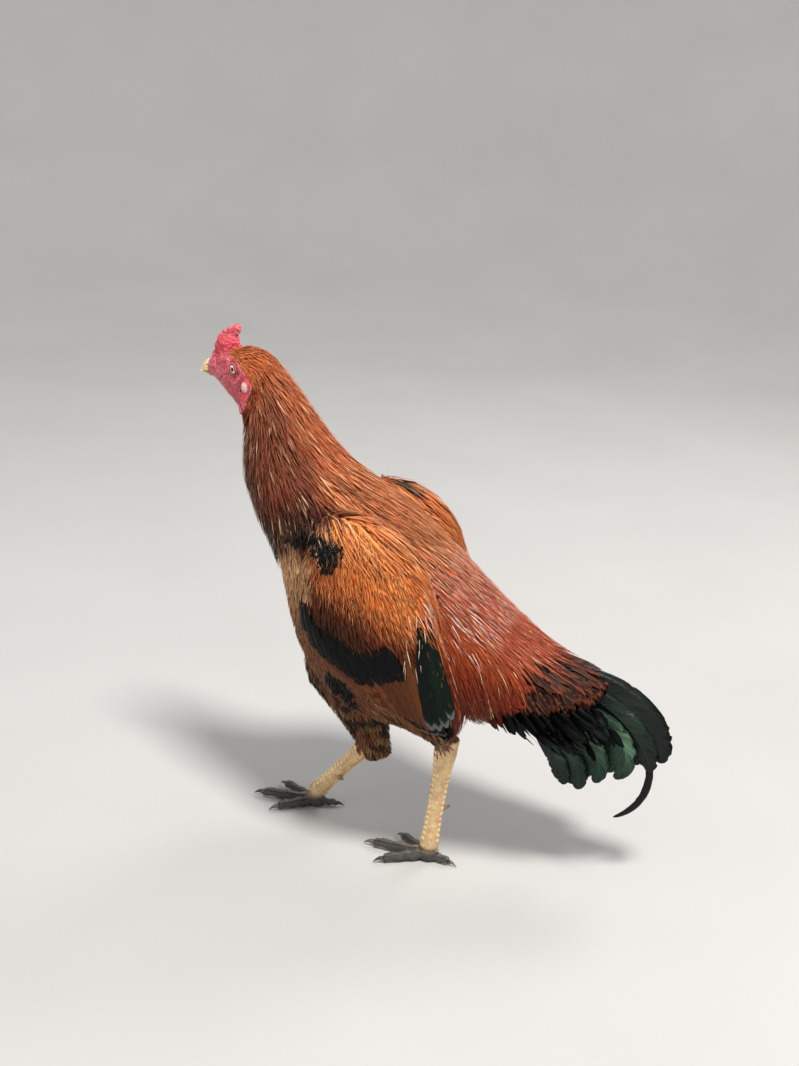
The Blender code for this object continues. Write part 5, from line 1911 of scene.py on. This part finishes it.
def lid_rim(side):
    """The lids' moist edge: a closed rounded band round the opening, places and faces."""
    gaze, long_way, short_way = eye_axes(side)
    places, faces = [], []
    for k in range(LID_STEPS):
        a = 2 * math.pi * k / LID_STEPS
        after = (k + 1) % LID_STEPS
        almond = 1.0 + 0.05 * math.cos(2 * a)
        high = math.cos(a) * OPENING_LONG * long_way * almond
        reach = (high + math.sin(a) * OPENING_SHORT * short_way) / EYE_RADIUS
        tilt = np.linalg.norm(reach)
        ray = unit(gaze * math.cos(tilt) + unit(reach) * math.sin(tilt))
        aside = unit(unit(reach) - ray * (unit(reach) @ ray))
        for j in range(LID_SIDES):
            b = 2 * math.pi * j / LID_SIDES
            places.append(EYE_CENTRES[side] + ray * (EYE_RADIUS + LID_HEIGHT + LID_HALF * math.cos(b))
                          + aside * LID_HALF * math.sin(b))
            this, following = LID_SIDES * k, LID_SIDES * after
            beside = (j + 1) % LID_SIDES
            faces.append((this + j, this + beside, following + beside, following + j))
    return from_head_local(np.array(places)), faces


def make_horn(name, nodes, voxel, colour, rounds=6, relief=None):
    made = remeshed(name, nodes, voxel)
    edges = edges_of(made.data)
    places = smoothed(coordinates(made.data), edges, rounds, 0.5, -0.52)
    set_coordinates(made.data, places)
    if relief is not None:
        places = places + normals_of(made.data) * relief(head_local(places))[:, None]
    places[:, 2] = np.maximum(places[:, 2], 0.0)
    set_coordinates(made.data, places)
    made.data.polygons.foreach_set("use_smooth", np.ones(len(made.data.polygons), bool))
    colour_vertices(made.data, colour(places))
    made.data.materials.append(HORN)
    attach(made, "root")
    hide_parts(*nodes)


BILL = (0.96, 0.72, 0.36)
BILL_TIP = (0.98, 0.86, 0.60)
BILL_BASE = (0.80, 0.46, 0.34)
NOSTRIL = (0.05, 0.02, 0.015)
NOSTRIL_X, NOSTRIL_Z = -0.2592, 0.5108
CLAW = (0.17, 0.13, 0.10)
CLAW_DARK = (0.045, 0.040, 0.036)
SPUR = (0.20, 0.13, 0.08)
SPUR_PALE = (0.40, 0.27, 0.15)


def bill_colour(places):
    own = head_local(places)
    found = mix(BILL_TIP, BILL, ease(own[:, 0], -0.2715, -0.2650))
    found = mix(found, BILL_BASE, 0.8 * ease(own[:, 2] - 0.35 * (own[:, 0] + 0.262), 0.5085, 0.5150))
    # The nostril is painted dark as the shade in its opening.
    nostril = 1 - ease(np.hypot((own[:, 0] - NOSTRIL_X) / 1.8, own[:, 2] - NOSTRIL_Z), 0.0004, 0.0009)
    return mix(found, NOSTRIL, nostril)


def above_gape(own):
    """Height over the line where the two halves of the bill meet."""
    return own[:, 2] - 0.5045 - 0.25 * (own[:, 0] + 0.262)


def bill_relief(own):
    nostril = np.exp(-((own[:, 0] - NOSTRIL_X) / 0.0016) ** 2 - ((own[:, 2] - NOSTRIL_Z) / 0.0008) ** 2)
    lip = np.exp(-(above_gape(own) / 0.0006) ** 2)
    full = ease(own[:, 2], 0.5060, 0.5110) * ease(own[:, 0], -0.2725, -0.2660)
    under = 1 - ease(above_gape(own), -0.0004, 0.0006)
    return -0.7 * MM * nostril + 0.15 * MM * lip + 0.8 * MM * full + 0.35 * MM * under


def lower_bill_relief(own):
    """The lower bill fills up to the edge of the upper one."""
    return 0.75 * MM * ease(above_gape(own), -0.0034, -0.0012)


def claw_colour(places):
    return mix(CLAW_DARK, CLAW, ease(unevenness(places, 0.004, 41), -0.5, 0.6))


def spur_colour(places):
    return mix(SPUR_PALE, SPUR, ease(unevenness(places, 0.004, 42), -0.5, 0.6))


for side in SIDES:
    make_eye(side)
    make_horn(f"claws_{side}", [f"claw_{toe}_{side}" for toe in ("inner", "middle", "outer", "hallux")],
              0.55 * MM, claw_colour)
    make_horn(f"spur_horn_{side}", [f"spur_{side}"], 0.55 * MM, spur_colour)
make_horn("bill_upper", ["beak_upper"], 0.40 * MM, bill_colour, 10, bill_relief)
make_horn("bill_lower", ["beak_lower"], 0.40 * MM, bill_colour, 10, lower_bill_relief)


# ---- the skin is finished ---------------------------------------------------------------------------

def finish_skin():
    """Adds the lids' rims, colours the skin and gives each region its own look."""
    work = bmesh.new()
    work.from_mesh(skin.data)
    before = len(work.verts)
    for side in SIDES:
        places, faces = lid_rim(side)
        corners = [work.verts.new(place) for place in places]
        made = [work.faces.new([corners[i] for i in face]) for face in faces]
        bmesh.ops.recalc_face_normals(work, faces=made)
    work.to_mesh(skin.data)
    work.free()
    count = len(skin.data.vertices)
    colours = np.tile(np.array(LID_RED), (count, 1))
    colours[:before] = skin_colour
    colour_vertices(skin.data, colours)
    legs = are(skin_labels, *(f"{part}_{side}" for part in ("shank", "foot") for side in SIDES))
    kinds = np.zeros(count, int)
    kinds[:before] = np.where(legs, 2, np.where(skin_bare > 0.5, 0, 1))
    corner = np.array([polygon.vertices[0] for polygon in skin.data.polygons])
    for look in (BARE_SKIN, DOWN, LEG):
        skin.data.materials.append(look)
    skin.data.polygons.foreach_set("material_index", kinds[corner].astype(np.int32))
    skin.data.polygons.foreach_set("use_smooth", np.ones(len(corner), bool))
    skin.data.update()
    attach(skin, "root")
    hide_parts(*FLESH)


SKIN_TREE, _ = surface_of(skin.data)
make_comb_grains()
for side, sign in SIDES.items():
    make_leg_scales(side, sign)
finish_skin()
bpy.data.objects.remove(outer)
